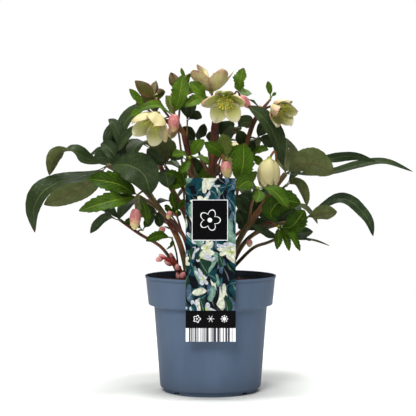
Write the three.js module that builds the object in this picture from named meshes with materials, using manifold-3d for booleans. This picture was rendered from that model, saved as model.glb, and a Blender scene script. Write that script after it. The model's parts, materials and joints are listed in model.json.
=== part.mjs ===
// A hellebore (lenten rose) in a round nursery pot with a hang-over care label.
// Millimetres, +Z up, front towards -Y, origin under the middle of the pot.
import * as THREE from 'three';
import { mergeVertices } from 'three/addons/utils/BufferGeometryUtils.js';
import Module from 'manifold-3d';

// ---- driving dimensions -------------------------------------------------------
const GAP = 0.3;               // clearance between neighbouring solids
const EYE_HEIGHT = 303;        // height from which the front elevation below is sighted
const EYE_DISTANCE = 1840;     // distance of that eye in front of the pot's axis

const POT_HEIGHT = 150;
const LIP_RADIUS = 85;
const BAND_FOOT_RADIUS = 80.4; // bottom of the wide rim band
const BAND_FOOT_HEIGHT = 112;
const BODY_TOP_RADIUS = 73.4;
const BODY_FOOT_RADIUS = 65.4;
const FOOT_RADIUS = 60.8;
const FOOT_HEIGHT = 4.5;
const POT_WALL = 1.6;
const POT_SIDES = 28;
const PAD_RADIUS = 20;         // flat pad in the middle of the pot's underside
const DRAIN_HOLES = 4;
const DRAIN_RADIUS = 4;
const DRAIN_CIRCLE = 40;       // radius of the ring of drain holes
const NOTCH = [14, 9];         // drainage notch in the foot ring: through it, along it

const SOIL_TOP = 140;
const SOIL_BUMP = 2.2;

const LABEL_WIDTH = 62;
const LABEL_TOP = 278;
const LABEL_BOTTOM = 74;
const LABEL_SHEET = 0.8;
const TAIL_WIDTH = 26;

const BLADE = 0.8;             // thickness of a leaf blade and of a sepal
const HUB = 2.8;               // radius of the knot where leaflets meet their stalk
const RECEPTACLE = 3.4;        // radius of the knot that holds a flower's sepals

// ---- materials ----------------------------------------------------------------
const finish = (color, roughness) => new THREE.MeshStandardMaterial({ color, roughness, metalness: 0 });
const FINISHES = {
  pot: () => finish(0x62707f, 0.55),
  soil: () => finish(0x3a211a, 0.95),
  label: () => finish(0x1c2f36, 0.35),
  stem: () => finish(0x5c3a2c, 0.6),
  shoot: () => finish(0xa94a4e, 0.55),
  old: () => finish(0x22402a, 0.45),
  young: () => finish(0x3f7a22, 0.5),
  sepal: () => finish(0xd9dba0, 0.6),
  faded: () => finish(0x8f7a62, 0.65),
  stamen: () => finish(0xd8c83a, 0.7),
  bud: () => finish(0xc8787c, 0.55),
};

// ---- directions that the upper side of a leaf can face -------------------------
const UP = [0, -0.25, 1];
const FRONT = [0, -1, 0.45];
const FRONT_LEFT = [-0.6, -0.8, 0.5];
const FRONT_RIGHT = [0.6, -0.8, 0.5];
const UP_LEFT = [-0.6, -0.35, 0.8];
const UP_FRONT = [0, -0.75, 0.75];
const UP_RIGHT = [0.6, -0.35, 0.8];
const RIGHT_FRONT = [0.6, -0.75, 0.35];
const BACK = [0, 1, 0.45];
const BACK_RIGHT = [0.5, 0.8, 0.5];

// ---- the leaves ----------------------------------------------------------------
// Each leaf: name, kind, hub, leaflets. Each leaflet: full width, the way its upper
// side faces, then the points its midrib passes after the hub. A point is
// [across, depth, up]: across and up are taken in the plane of the pot's axis as
// sighted from the eye point, depth is how far the point lies behind that plane.
const LEAVES = [
  ['leaf_left_arch', 'old', [-133, -5, 292], [
    [25, FRONT_LEFT, [-160, -22, 301], [-181, -36, 311], [-200, -38, 304], [-209, -30, 279]],
    [36, FRONT_LEFT, [-164, -22, 277], [-194, -42, 271], [-218, -52, 257],
      [-229, -50, 234], [-228, -44, 205]],
    [34, BACK, [-158, 20, 268], [-189, 32, 252], [-216, 38, 241]],
    [44, FRONT, [-106, -34, 292], [-86, -48, 279], [-78, -52, 254]],
  ]],
  ['leaf_left_upright', 'old', [-128, 14, 301], [
    [17, FRONT_LEFT, [-133, 16, 322], [-127, 20, 340], [-113, 22, 351]],
    [19, FRONT_LEFT, [-114, 0, 322], [-95, -6, 344]],
    [26, FRONT_LEFT, [-118, 24, 334], [-100, 32, 359], [-76, 32, 372]],
    [15, UP_LEFT, [-143, 30, 310], [-158, 44, 304]],
  ]],
  ['leaf_left_bract', 'young', [-92, -22, 252], [
    [30, FRONT, [-121, -45, 268], [-159, -54, 275]],
    [25, FRONT, [-128, -58, 246], [-171, -70, 233]],
    [15, FRONT_RIGHT, [-86, -36, 238], [-82, -44, 216]],
  ]],
  ['leaf_left_low', 'old', [-117, 8, 221], [
    [17, FRONT_LEFT, [-136, -2, 224], [-156, -10, 204]],
    [16, UP_LEFT, [-136, 34, 238], [-157, 50, 235]],
  ]],
  ['bract_top_left', 'young', [-48, -22, 356], [
    [15, FRONT_LEFT, [-70, -42, 370], [-96, -53, 363]],
    [25, FRONT, [-40, -26, 382], [-36, -22, 409]],
    [17, BACK, [-52, 4, 372], [-58, 24, 382]],
  ]],
  ['bract_faded_flower', 'young', [-82, -14, 365], [
    [11, FRONT_LEFT, [-93, -14, 378], [-105, -12, 391]],
    [13, FRONT, [-92, -6, 362], [-104, 4, 357]],
  ]],
  ['bract_top_middle', 'young', [-3, -6, 379], [
    [19, FRONT, [-16, -12, 390], [-27, -10, 400]],
    [17, FRONT, [-18, -22, 377], [-33, -30, 368]],
    [14, BACK, [-8, 20, 377], [-9, 40, 383]],
  ]],
  ['bract_top_right', 'young', [38, 0, 382], [
    [22, FRONT_LEFT, [38, -5, 399], [43, -4, 418]],
    [15, BACK_RIGHT, [46, 28, 386], [50, 50, 388]],
    [12, UP, [52, 8, 376], [62, 14, 368]],
  ]],
  ['leaf_middle_star', 'young', [-27, -40, 302], [
    [17, FRONT_LEFT, [-38, -50, 307], [-50, -56, 304]],
    [17, FRONT_RIGHT, [-14, -56, 302], [-2, -64, 294]],
    [17, FRONT, [-18, -46, 316], [-8, -48, 325]],
    [12, FRONT, [-32, -52, 291], [-38, -60, 282]],
  ]],
  ['leaf_middle_bud', 'young', [20, -44, 300], [
    [18, FRONT_LEFT, [7, -58, 313], [-8, -66, 322]],
    [21, BACK, [19, -38, 317], [15, -34, 333]],
    [14, FRONT_RIGHT, [31, -34, 310], [42, -30, 318]],
  ]],
  ['leaf_middle_tall', 'young', [35, -62, 264], [
    [31, FRONT, [42, -74, 293], [43, -76, 321]],
    [15, FRONT_RIGHT, [46, -44, 272], [60, -34, 284]],
  ]],
  ['leaf_middle_shade', 'old', [33, 20, 340], [
    [27, FRONT, [26, 20, 343], [13, 18, 330]],
    [19, FRONT_RIGHT, [44, 20, 348], [56, 20, 345]],
    [17, FRONT, [38, 18, 332], [43, 20, 318]],
    [18, BACK, [32, 46, 340], [30, 72, 332]],
  ]],
  ['leaf_middle_olive', 'old', [-58, 18, 290], [
    [34, BACK, [-62, 12, 311], [-73, 12, 331]],
    [19, FRONT_LEFT, [-72, 4, 304], [-82, 0, 314]],
    [23, FRONT, [-57, 4, 278], [-55, -4, 263]],
  ]],
  ['leaf_middle_teal', 'old', [-18, 34, 322], [
    [17, FRONT, [-27, 26, 332], [-36, 22, 342]],
    [17, FRONT_RIGHT, [-13, 26, 334], [-8, 24, 346]],
    [16, BACK, [-24, 60, 322], [-30, 86, 312]],
  ]],
  ['leaf_right_arch', 'old', [97, -10, 281], [
    [31, FRONT_RIGHT, [90, -24, 308], [81, -32, 334], [67, -36, 355], [48, -34, 369]],
    [42, BACK, [114, -26, 293], [136, -38, 293], [160, -46, 282]],
    [13, UP_FRONT, [131, 12, 293], [158, 20, 301], [187, 22, 304], [214, 18, 297]],
    [13, UP_FRONT, [131, 34, 281], [160, 46, 284], [193, 50, 293], [226, 44, 297], [262, 34, 284]],
    [25, BACK, [98, 4, 298], [104, 9, 314]],
  ]],
  ['leaf_right_bright', 'young', [61, -72, 263], [
    [24, FRONT, [48, -82, 271], [34, -94, 262]],
    [17, FRONT, [63, -82, 253], [59, -92, 244]],
    [24, FRONT_RIGHT, [80, -78, 260], [101, -86, 237]],
  ]],
  ['leaf_right_curled', 'young', [88, -42, 213], [
    [33, FRONT, [78, -50, 230], [92, -58, 246], [117, -58, 243]],
    [29, FRONT_RIGHT, [105, -50, 213], [122, -54, 234]],
    [12, FRONT, [88, -62, 196], [86, -68, 183]],
    [10, FRONT, [98, -56, 198], [102, -64, 181]],
    [15, FRONT_RIGHT, [104, -60, 202], [116, -66, 181]],
  ]],
  ['leaf_right_shade', 'old', [62, 12, 232], [
    [27, FRONT, [48, 6, 240], [33, 4, 252]],
    [22, FRONT, [50, 17, 220], [36, 14, 210]],
    [19, FRONT, [66, 6, 248], [72, 8, 262]],
  ]],
  ['leaf_right_olive', 'old', [98, 26, 266], [
    [18, BACK_RIGHT, [109, 14, 271], [120, 8, 260], [125, 4, 240]],
    [14, UP_FRONT, [114, 34, 288], [134, 38, 308]],
  ]],
  ['leaf_right_far', 'old', [124, 6, 224], [
    [22, BACK, [142, -4, 229], [164, -12, 232]],
    [17, RIGHT_FRONT, [148, 18, 241], [166, 18, 249], [182, 16, 245],
      [196, 12, 232], [206, 6, 218], [211, 0, 200]],
  ]],
  ['leaf_right_low', 'old', [89, -4, 198], [
    [14, FRONT, [70, -32, 205], [52, -42, 216]],
    [18, FRONT_RIGHT, [112, -8, 203], [133, -12, 206]],
    [9, UP, [112, -22, 196], [131, -30, 195], [154, -32, 188]],
    [17, UP_RIGHT, [106, 34, 204], [130, 64, 194]],
  ]],
];

// Leaves of the far side, placed round the crown by rule: name, kind, bearing of the
// hub in degrees from +X towards +Y, its radius and height, leaflet length.
const FAR_LEAVES = [
  ['leaf_far_1', 'old', 44, 112, 228, 78],
  ['leaf_far_2', 'old', 55, 92, 316, 84],
  ['leaf_far_3', 'old', 84, 112, 257, 80],
  ['leaf_far_4', 'old', 108, 112, 284, 84],
  ['leaf_far_5', 'old', 132, 118, 234, 80],
  ['leaf_far_6', 'old', 153, 86, 314, 74],
];
const FAR_SPREAD = [-92, -31, 31, 92];

// Flowers: name, kind, centre, the way the mouth looks, sepal length and width, the
// roll of the first sepal, how much the sepals close again towards their tips, and
// each sepal's opening angle from the mouth's axis.
const FLOWERS = [
  ['flower_left', 'sepal', [-68, -38, 359], [-0.38, -0.45, -0.81], 42, 36, 36, 0.6, [56, 58, 46, 50, 54]],
  ['flower_faded', 'faded', [-73, -4, 381], [-0.15, 0.9, 0.25], 31.8, 25, 38, 0.4, [86, 34, 34, 60, 62]],
  ['flower_dusky', 'faded', [-42, 20, 390], [0.1, 0.9, 0.35], 26, 22, 60, 0.4, [58, 62, 54]],
  ['flower_cup', 'sepal', [1, 14, 387], [-0.05, 0.1, 1], 42, 39, 228, 0.5, [60, 72, 58, 62, 34]],
  ['flower_front', 'sepal', [20, -34, 381], [-0.08, -0.76, -0.64], 37, 32, 92, 0.5, [56, 64, 54, 50, 62]],
  ['flower_right', 'sepal', [82, -24, 369], [0.45, -0.8, -0.4], 36, 35, 90, 0.75, [50, 52, 50, 52, 54]],
  ['flower_globe', 'sepal', [76, -46, 301], [-0.05, -0.25, -0.97], 38, 42, 38, 1.12, [62, 64, 60, 66, 62]],
  ['flower_far', 'sepal', [31, 110, 306], [0.1, 0.93, -0.25], 31, 28, 90, 0.5, [58, 66, 62, 68, 64]],
];
const OPEN_FLOWERS = ['flower_left', 'flower_front', 'flower_right', 'flower_far'];

// Buds: name, top, the way the tip points, length, width.
const BUDS = [
  ['bud_left', [-97, -44, 236], [-0.06, -0.1, -1], 27, 14.5],
  ['bud_top_left', [-47, -45, 358], [-0.05, -0.15, -1], 23, 15],
  ['bud_top_middle', [-1, -26, 374], [-0.9, -0.2, -0.3], 12, 10],
  ['bud_crimson', [38, -26, 382], [0.62, -0.1, -0.75], 21, 10.5],
  ['bud_middle', [18, -60, 297], [0.25, -0.2, -1], 22, 14.5],
  ['bud_far', [-46, 96, 344], [-0.3, 0.5, -0.8], 22, 14],
];

// Small young buds and leaves that stay on their stem: stem, point, direction,
// length, width.
const STEM_BUDS = [
  ['stem_top_left', [-62, -30, 351], [-0.2, -0.3, -0.9], 8, 7],
  ['stem_top_left', [-48, -4, 387], [-0.1, -0.2, -1], 9, 7],
  ['stem_left_bract', [-52, -22, 233], [-0.3, -0.1, -0.9], 11, 8],
  ['stem_left_bract', [-60, -14, 212], [-0.5, -0.2, -0.6], 11, 8],
  ['stem_right_top', [64, 2, 369], [0.1, -0.3, -0.9], 8, 7],
  ['stem_right_low', [50, -12, 196], [0.1, -0.1, -1], 10, 8],
];
const STEM_LEAVES = [
  ['stem_left_bract', [-44, -24, 232], [[10, FRONT, [-49, -28, 245], [-51, -30, 258]],
    [9, FRONT_RIGHT, [-38, -32, 242], [-34, -34, 250]]]],
  ['stem_left_low', [-50, -18, 198], [[14, FRONT, [-66, -28, 201], [-84, -34, 194]],
    [8, FRONT_LEFT, [-50, -30, 188], [-57, -36, 183]]]],
  ['stem_top_left', [-33, -2, 401], [[6, FRONT_LEFT, [-35, -4, 409], [-38, -4, 418]],
    [6, FRONT_RIGHT, [-29, -3, 406], [-27, -6, 411]]]],
  ['stem_right_top', [78, 2, 380], [[9, FRONT, [76, 0, 391], [74, -1, 401]],
    [5, FRONT_RIGHT, [82, 2, 384], [85, 2, 386]]]],
];

// Stems: name, kind, tubes. Each tube: radius, the piece it carries at its end
// (or ''), then its points; the first tube of a stem starts in the soil.
const STEMS = [
  ['stem_left', 'stem', [
    [3.8, 'leaf_left_arch', [-28, -8, 122], [-30, -8, 150], [-44, -8, 200], [-78, -8, 252], [-106, -6, 276]],
    [2.2, 'leaf_left_upright', [-84, -8, 258], [-104, 8, 284]],
  ]],
  ['stem_left_bract', 'stem', [
    [2.5, 'leaf_left_bract', [-22, -26, 122], [-24, -24, 150], [-36, -20, 202], [-66, -18, 234]],
    [1.3, 'bud_left', [-66, -18, 234], [-80, -28, 259], [-96, -44, 252]],
    [1.2, '', [-36, -20, 202], [-44, -22, 226], [-52, -22, 233]],
    [1.2, '', [-40, -19, 207], [-52, -16, 210], [-60, -14, 213]],
    [1.2, '', [-36, -20, 202], [-42, -23, 220], [-44, -24, 232]],
  ]],
  ['stem_left_low', 'stem', [
    [2.2, 'leaf_left_low', [-40, 8, 122], [-42, 8, 150], [-62, 8, 184], [-92, 8, 203]],
    [1.2, '', [-42, 8, 150], [-44, -12, 176], [-50, -18, 198]],
  ]],
  ['stem_top_left', 'stem', [
    [4.2, '', [-14, 10, 122], [-15, 10, 150], [-22, 8, 240], [-26, 4, 290], [-34, -4, 330], [-42, -10, 346]],
    [2.0, 'bract_top_left', [-38, -7, 338], [-42, -12, 348]],
    [1.6, 'flower_left', [-36, -5, 334], [-46, -20, 340], [-52, -32, 344]],
    [1.3, 'bud_top_left', [-40, -10, 342], [-44, -26, 349], [-49, -41, 368]],
    [1.6, 'flower_faded', [-34, -4, 330], [-50, 6, 350], [-64, -10, 368]],
    [1.4, 'bract_faded_flower', [-50, 6, 350], [-66, -12, 353]],
    [1.4, 'flower_dusky', [-42, -10, 346], [-40, 0, 366], [-42, 4, 380]],
    [1.0, '', [-40, 0, 366], [-37, 0, 386], [-33, -2, 401]],
    [1.0, '', [-40, -10, 342], [-52, -26, 354], [-62, -30, 352]],
    [1.0, '', [-40, 0, 366], [-45, -3, 378], [-48, -4, 388]],
    [1.8, 'leaf_middle_olive', [-22, 8, 240], [-40, 14, 268]],
  ]],
  ['stem_middle', 'stem', [
    [6.2, '', [-2, 22, 122], [-2, 22, 150], [0, 22, 240], [4, 14, 310], [6, 2, 346], [6, -2, 364]],
    [1.8, 'flower_cup', [6, 0, 356], [5, 8, 368], [3, 11, 378]],
    [1.7, 'flower_front', [6, -1, 360], [14, -14, 372]],
    [1.2, 'bud_top_middle', [6, -2, 362], [10, -18, 370], [7, -25, 377]],
    [1.5, 'bract_top_middle', [6, -2, 360], [0, -4, 370]],
    [1.7, 'bract_top_right', [6, 0, 354], [26, 0, 370]],
    [1.2, 'bud_crimson', [26, 0, 370], [29, -14, 380], [34, -25, 388]],
    [1.9, 'leaf_middle_shade', [3, 18, 290], [22, 22, 322]],
    [1.8, 'leaf_middle_teal', [2, 20, 270], [-12, 28, 300]],
  ]],
  ['stem_middle_low', 'stem', [
    [3.2, '', [0, -30, 122], [0, -30, 150], [4, -34, 220], [8, -36, 250], [14, -40, 276]],
    [2.0, 'leaf_middle_tall', [4, -34, 220], [26, -52, 244]],
    [1.8, 'leaf_middle_bud', [12, -39, 270], [16, -40, 286]],
    [1.3, 'bud_middle', [13, -39, 272], [10, -52, 290], [16, -59, 306]],
    [1.8, 'leaf_middle_star', [5, -35, 230], [-18, -36, 270], [-26, -38, 288]],
  ]],
  ['stem_right_top', 'stem', [
    [3.4, '', [12, 10, 122], [13, 10, 150], [26, 10, 220], [40, 8, 290], [52, 6, 338],
      [62, 4, 358], [78, 2, 378]],
    [1.6, 'flower_right', [60, 4, 354], [72, -10, 366]],
    [1.2, '', [58, 5, 350], [63, 2, 360], [64, 2, 370]],
  ]],
  ['stem_right', 'stem', [
    [3.8, 'leaf_right_arch', [16, -10, 122], [18, -10, 150], [40, -10, 200], [66, -12, 238], [84, -11, 264]],
    [1.7, 'flower_globe', [72, -12, 246], [84, -30, 280], [84, -40, 310]],
    [1.8, 'leaf_right_bright', [50, -11, 214], [53, -44, 240]],
    [1.6, 'leaf_right_shade', [44, -10, 206], [57, -1, 219]],
    [1.7, 'leaf_right_olive', [66, -12, 238], [84, 12, 256]],
  ]],
  ['stem_right_low', 'stem', [
    [3.0, 'leaf_right_far', [21, 12, 122], [23, 12, 150], [44, 4, 192], [72, 0, 211], [104, 2, 219]],
    [1.9, 'leaf_right_curled', [50, 2, 198], [72, -20, 217]],
    [2.2, 'leaf_right_low', [28, 12, 158], [54, -2, 184], [74, -4, 192]],
    [1.0, '', [44, 4, 192], [49, -8, 200], [50, -12, 197]],
  ]],
  ['stem_far_left', 'stem', [
    [3.6, 'leaf_far_6', [-18, 34, 122], [-20, 34, 150], [-30, 44, 220], [-58, 50, 276]],
    [2.0, 'leaf_far_5', [-24, 38, 186], [-44, 62, 210], [-64, 78, 222]],
    [1.5, 'bud_far', [-33, 46, 232], [-38, 76, 310], [-44, 90, 348]],
  ]],
  ['stem_far_right', 'stem', [
    [3.6, 'leaf_far_2', [8, 36, 122], [10, 36, 150], [22, 46, 220], [38, 60, 278]],
    [2.0, 'leaf_far_1', [16, 42, 186], [46, 56, 212], [68, 68, 222]],
    [2.0, 'leaf_far_3', [18, 43, 198], [16, 78, 232], [14, 100, 254]],
    [2.2, 'leaf_far_4', [22, 46, 220], [-2, 66, 250], [-22, 92, 274]],
    [1.6, 'flower_far', [-2, 66, 250], [4, 78, 290], [18, 96, 314]],
  ]],
  ['young_shoot', 'shoot', [
    [3.4, '', [-38, -16, 124], [-38, -16, 148], [-42, -20, 160], [-54, -26, 168]],
    [3.0, '', [-41, -19, 158], [-51, -28, 168], [-66, -34, 174]],
    [2.6, '', [-40, -18, 155], [-45, -16, 165], [-50, -20, 176]],
  ]],
];

// ---- points and curves -----------------------------------------------------------
function sight([across, depth, up]) {
  const spread = 1 + depth / EYE_DISTANCE;
  return new THREE.Vector3(across * spread, depth, EYE_HEIGHT + (up - EYE_HEIGHT) * spread);
}

const curveThrough = (points) => new THREE.CatmullRomCurve3(points, false, 'catmullrom', 0.5);

// ---- solids and joins -------------------------------------------------------------
const wasm = await Module();
wasm.setup();

function toSolid(geometry) {
  const bare = geometry.clone();
  bare.deleteAttribute('normal');
  bare.deleteAttribute('uv');
  const merged = mergeVertices(bare, 1e-4);
  return new wasm.Manifold(new wasm.Mesh({
    numProp: 3,
    vertProperties: new Float32Array(merged.attributes.position.array),
    triVerts: new Uint32Array(merged.index.array),
  }));
}

function toGeometry(solid) {
  const mesh = solid.getMesh();
  const geometry = new THREE.BufferGeometry();
  geometry.setAttribute('position', new THREE.BufferAttribute(new Float32Array(mesh.vertProperties), 3));
  geometry.setIndex(new THREE.BufferAttribute(new Uint32Array(mesh.triVerts), 1));
  geometry.computeVertexNormals();
  return geometry;
}

const fuse = (solids) => solids.reduce((whole, solid) => whole.add(solid));

// A closed sheet from rows of {point, normal}: both faces are split alike.
function sheet(rows, thickness) {
  const across = rows[0].length;
  const positions = [];
  for (const side of [0.5, -0.5]) {
    for (const row of rows) {
      for (const { point, normal } of row) {
        positions.push(...point.clone().addScaledVector(normal, side * thickness).toArray());
      }
    }
  }
  const under = rows.length * across;
  const at = (i, j) => i * across + j;
  const index = [];
  for (let i = 0; i + 1 < rows.length; i += 1) {
    for (let j = 0; j + 1 < across; j += 1) {
      const [a, b, c, d] = [at(i, j), at(i + 1, j), at(i + 1, j + 1), at(i, j + 1)];
      index.push(a, b, c, a, c, d, a + under, c + under, b + under, a + under, d + under, c + under);
    }
    for (const j of [0, across - 1]) {
      const [a, b] = j === 0 ? [at(i + 1, 0), at(i, 0)] : [at(i, j), at(i + 1, j)];
      index.push(a, b, b + under, a, b + under, a + under);
    }
  }
  for (let j = 0; j + 1 < across; j += 1) {
    for (const i of [0, rows.length - 1]) {
      const [a, b] = i === 0 ? [at(0, j), at(0, j + 1)] : [at(i, j + 1), at(i, j)];
      index.push(a, b, b + under, a, b + under, a + under);
    }
  }
  const geometry = new THREE.BufferGeometry();
  geometry.setAttribute('position', new THREE.Float32BufferAttribute(positions, 3));
  geometry.setIndex(index);
  return geometry;
}

// ---- leaves -------------------------------------------------------------------------
const STALK_SHARE = 0.07;      // share of a leaflet's length that is its bare foot
const STALK_HALF = 0.8;
const FLAT_UNDER = 18;         // leaflets narrower than this have no folded midrib
const FOLD = 0.24;             // how far the two halves rise from the midrib
const TOOTH = 0.15;            // depth of the teeth as a share of the half width

// Half width along the blade: a lance shape, broadest before the middle.
function lance(q) {
  return (q * (1 - q) ** 0.7) / 0.316;
}

function leaflet(hub, [width, face, ...points]) {
  const path = points.map(sight);
  const foot = hub.clone().add(path[0].clone().sub(hub).setLength(0.6 * HUB));
  const curve = curveThrough([foot, ...path]);
  const length = curve.getLength();
  const steps = length > 110 ? 7 : length > 88 ? 6 : length > 42 ? 5 : 4;
  const across = width < FLAT_UNDER ? [1, -1] : [1, 0, -1];
  const tangents = [];
  for (let i = 0; i <= steps; i += 1) tangents.push(curve.getTangentAt(i / steps));
  const middle = Math.floor(steps / 2);
  const normals = [];
  const square = (normal, tangent) => (
    normal.clone().addScaledVector(tangent, -normal.dot(tangent)).normalize()
  );
  normals[middle] = square(new THREE.Vector3(...face), tangents[middle]);
  for (let i = middle + 1; i <= steps; i += 1) normals[i] = square(normals[i - 1], tangents[i]);
  for (let i = middle - 1; i >= 0; i -= 1) normals[i] = square(normals[i + 1], tangents[i]);
  const rows = [];
  for (let i = 0; i <= steps; i += 1) {
    const s = i / steps;
    const q = Math.max(0, (s - STALK_SHARE) / (1 - STALK_SHARE));
    const tooth = i % 2 === 1 && i < steps ? 1 : 1 - TOOTH;
    const half = Math.max(i === steps ? 0.4 : STALK_HALF * (1 - s), (width / 2) * lance(q) * tooth);
    const side = new THREE.Vector3().crossVectors(tangents[i], normals[i]);
    rows.push(across.map((u) => {
      const point = curve.getPointAt(s).addScaledVector(side, u * half);
      return { point: point.addScaledVector(normals[i], Math.abs(u) * FOLD * half), normal: normals[i] };
    }));
  }
  return toSolid(sheet(rows, BLADE));
}

function knot(centre, radius) {
  return toSolid(new THREE.IcosahedronGeometry(radius, 0).translate(...centre.toArray()));
}

function leaf(hub, leaflets) {
  return fuse([knot(hub, HUB), ...leaflets.map((one) => leaflet(hub, one))]);
}

// A leaf of the far side: its leaflets fan out from the hub and arch down.
function farLeaf([name, kind, bearing, radius, height, length]) {
  const turn = THREE.MathUtils.degToRad(bearing);
  const hub = [radius * Math.cos(turn), radius * Math.sin(turn), height];
  const leaflets = FAR_SPREAD.map((spread, k) => {
    const aim = turn + THREE.MathUtils.degToRad(spread + 4 * Math.sin(bearing + k));
    const reach = length * (1 - 0.2 * Math.abs(spread) / 92);
    const along = (share, rise) => [
      hub[0] + share * reach * Math.cos(aim), hub[1] + share * reach * Math.sin(aim), hub[2] + rise * reach,
    ];
    const face = [0.5 * Math.cos(aim), 0.5 * Math.sin(aim), 1];
    return [0.36 * length, face, along(0.34, 0.14), along(0.68, 0.06), along(0.94, -0.22)];
  });
  return [name, kind, hub, leaflets];
}

// ---- flowers and buds ------------------------------------------------------------------
const SEPALS = 5;
const ALONG = 4;               // rows of facets along a sepal; small sepals have one fewer
const SMALL_SEPAL = 32;
const ACROSS = [-1, 0, 1];

// A frame whose third axis is the given direction.
function frameOf(direction) {
  const axis = new THREE.Vector3(...direction).normalize();
  const helper = Math.abs(axis.z) > 0.9 ? new THREE.Vector3(0, 1, 0) : new THREE.Vector3(0, 0, 1);
  const side = new THREE.Vector3().crossVectors(helper, axis).normalize();
  return { axis, side, up: new THREE.Vector3().crossVectors(axis, side) };
}

// How far in (+) or out (-) each sepal's two edges lie, so that they overlap as tiles.
const TILED = [[-1, -1], [1, 1], [-1, -1], [1, -1], [1, 1]];
const TILE_LIFT = 0.06;
const WIDEST = 0.6;            // half the angle that one sepal covers round the axis
const FIRST_ROW = 0.07;

// One sepal: ovate, curved round the flower's axis like part of a cup, with its
// edges lying over or under the next ones.
function sepal(centre, frame, [length, width, curl], roll, opening, edges) {
  const open = THREE.MathUtils.degToRad(opening);
  const surface = (s, u) => {
    const lean = open * (1.3 - curl * s);
    const rounded = Math.min(1, 1.75 * s) * Math.sqrt(Math.max(0, 1 - s ** 4.2));
    const half = Math.max(0.5, (width / 2) * rounded);
    const lift = TILE_LIFT * edges[u < 0 ? 0 : 1] * Math.abs(u) * Math.min(1, 3.5 * s);
    const hollow = (0.1 * u * u * Math.sin(Math.PI * s) + lift) * width;
    const radius = s * length * Math.sin(lean);
    const turn = roll + u * Math.min(WIDEST, 0.36 + 1.1 * s, half / radius);
    return centre.clone()
      .addScaledVector(frame.axis, s * length * Math.cos(lean) + hollow * Math.sin(lean))
      .addScaledVector(frame.side, (radius - hollow * Math.cos(lean)) * Math.cos(turn))
      .addScaledVector(frame.up, (radius - hollow * Math.cos(lean)) * Math.sin(turn));
  };
  const rows = [];
  const along = length < SMALL_SEPAL ? ALONG - 1 : ALONG;
  for (let i = 0; i <= along; i += 1) {
    const s = FIRST_ROW + ((1 - FIRST_ROW) * i) / along;
    rows.push(ACROSS.map((u) => {
      const alongIt = surface(s + 0.01, u * 0.9).sub(surface(s - 0.01, u * 0.9));
      const acrossIt = surface(s, u * 0.9 + 0.05).sub(surface(s, u * 0.9 - 0.05));
      const normal = new THREE.Vector3().crossVectors(acrossIt, alongIt).normalize();
      return { point: surface(s, u), normal };
    }));
  }
  const geometry = sheet(rows, BLADE);
  let solid = toSolid(geometry);
  if (solid.volume() < 0) {
    geometry.setIndex([...geometry.index.array].reverse());
    solid = toSolid(geometry);
  }
  return solid;
}

function flower([, , centre, mouth, length, width, roll, curl, openings]) {
  const place = sight(centre);
  const frame = frameOf(mouth);
  const first = THREE.MathUtils.degToRad(roll);
  const sepals = openings.map((opening, k) => (
    sepal(place, frame, [length, width, curl], first + (k * 2 * Math.PI) / SEPALS, opening, TILED[k])
  ));
  return fuse([knot(place, RECEPTACLE), ...sepals]);
}

const STAMENS = 7;
const STAMEN_LENGTH = 13;

// The tuft of stamens: three-sided filaments, thicker at the tip, on a small cushion.
function stamens([, , centre, mouth]) {
  const place = sight(centre);
  const frame = frameOf(mouth);
  const turn = new THREE.Quaternion().setFromUnitVectors(new THREE.Vector3(0, 1, 0), frame.axis);
  const foot = RECEPTACLE + GAP + 0.6;
  const parts = [new THREE.CylinderGeometry(1.8, 2.4, 1.6, 6).translate(0, foot, 0)];
  for (let k = 0; k < STAMENS; k += 1) {
    const lean = k % 2 === 0 ? 0.3 : 0.62;
    const filament = new THREE.CylinderGeometry(0.95, 0.5, STAMEN_LENGTH, 3);
    filament.translate(0, STAMEN_LENGTH / 2, 0).rotateX(lean).rotateY((k * 2 * Math.PI) / STAMENS);
    parts.push(filament.translate(0, foot, 0));
  }
  return fuse(parts.map((part) => toSolid(part.applyQuaternion(turn).translate(...place.toArray()))));
}

function budShape(top, direction, length, width, sides) {
  const outline = [[0, 0], [0.34, 0.08], [0.5, 0.42], [0.4, 0.76], [0.18, 0.95], [0, 1]]
    .map(([r, h]) => new THREE.Vector2(r * width, h * length));
  const turn = new THREE.Quaternion().setFromUnitVectors(
    new THREE.Vector3(0, 1, 0), new THREE.Vector3(...direction).normalize());
  return new THREE.LatheGeometry(outline, sides).applyQuaternion(turn).translate(...sight(top).toArray());
}

// ---- stems ----------------------------------------------------------------------------------
const SINK = 1.5;               // how far a small bud reaches back into its stalk

const sidesOf = (radius) => (radius < 2.2 ? 4 : 5);

// A stalk along a smooth path; `pace` sets how long its straight pieces are.
function tube(points, radius, pace = radius) {
  const curve = curveThrough(points);
  const outline = new THREE.Shape();
  const sides = sidesOf(pace);
  for (let k = 0; k < sides; k += 1) {
    const turn = (k * 2 * Math.PI) / sides;
    const [x, y] = [radius * Math.cos(turn), radius * Math.sin(turn)];
    if (k === 0) outline.moveTo(x, y);
    else outline.lineTo(x, y);
  }
  const steps = Math.max(2, Math.round(curve.getLength() / (17 + 5 * pace)));
  return toSolid(new THREE.ExtrudeGeometry(outline, { steps, bevelEnabled: false, extrudePath: curve }));
}

// What a stalk can carry: where it is held and how far from that point its knot reaches.
function seats(leaves) {
  const held = {};
  for (const [name, , hub] of leaves) held[name] = { place: sight(hub), reach: HUB };
  for (const [name, , centre] of FLOWERS) held[name] = { place: sight(centre), reach: RECEPTACLE };
  for (const [name, top] of BUDS) held[name] = { place: sight(top), reach: 0.4 };
  return held;
}

function stalkPoints([radius, carried, ...points], held) {
  const path = points.map(sight);
  if (carried) {
    const { place, reach } = held[carried];
    const back = path[path.length - 1].clone().sub(place).normalize();
    path.push(place.clone().addScaledVector(back, reach + GAP));
  }
  return path;
}

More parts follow.
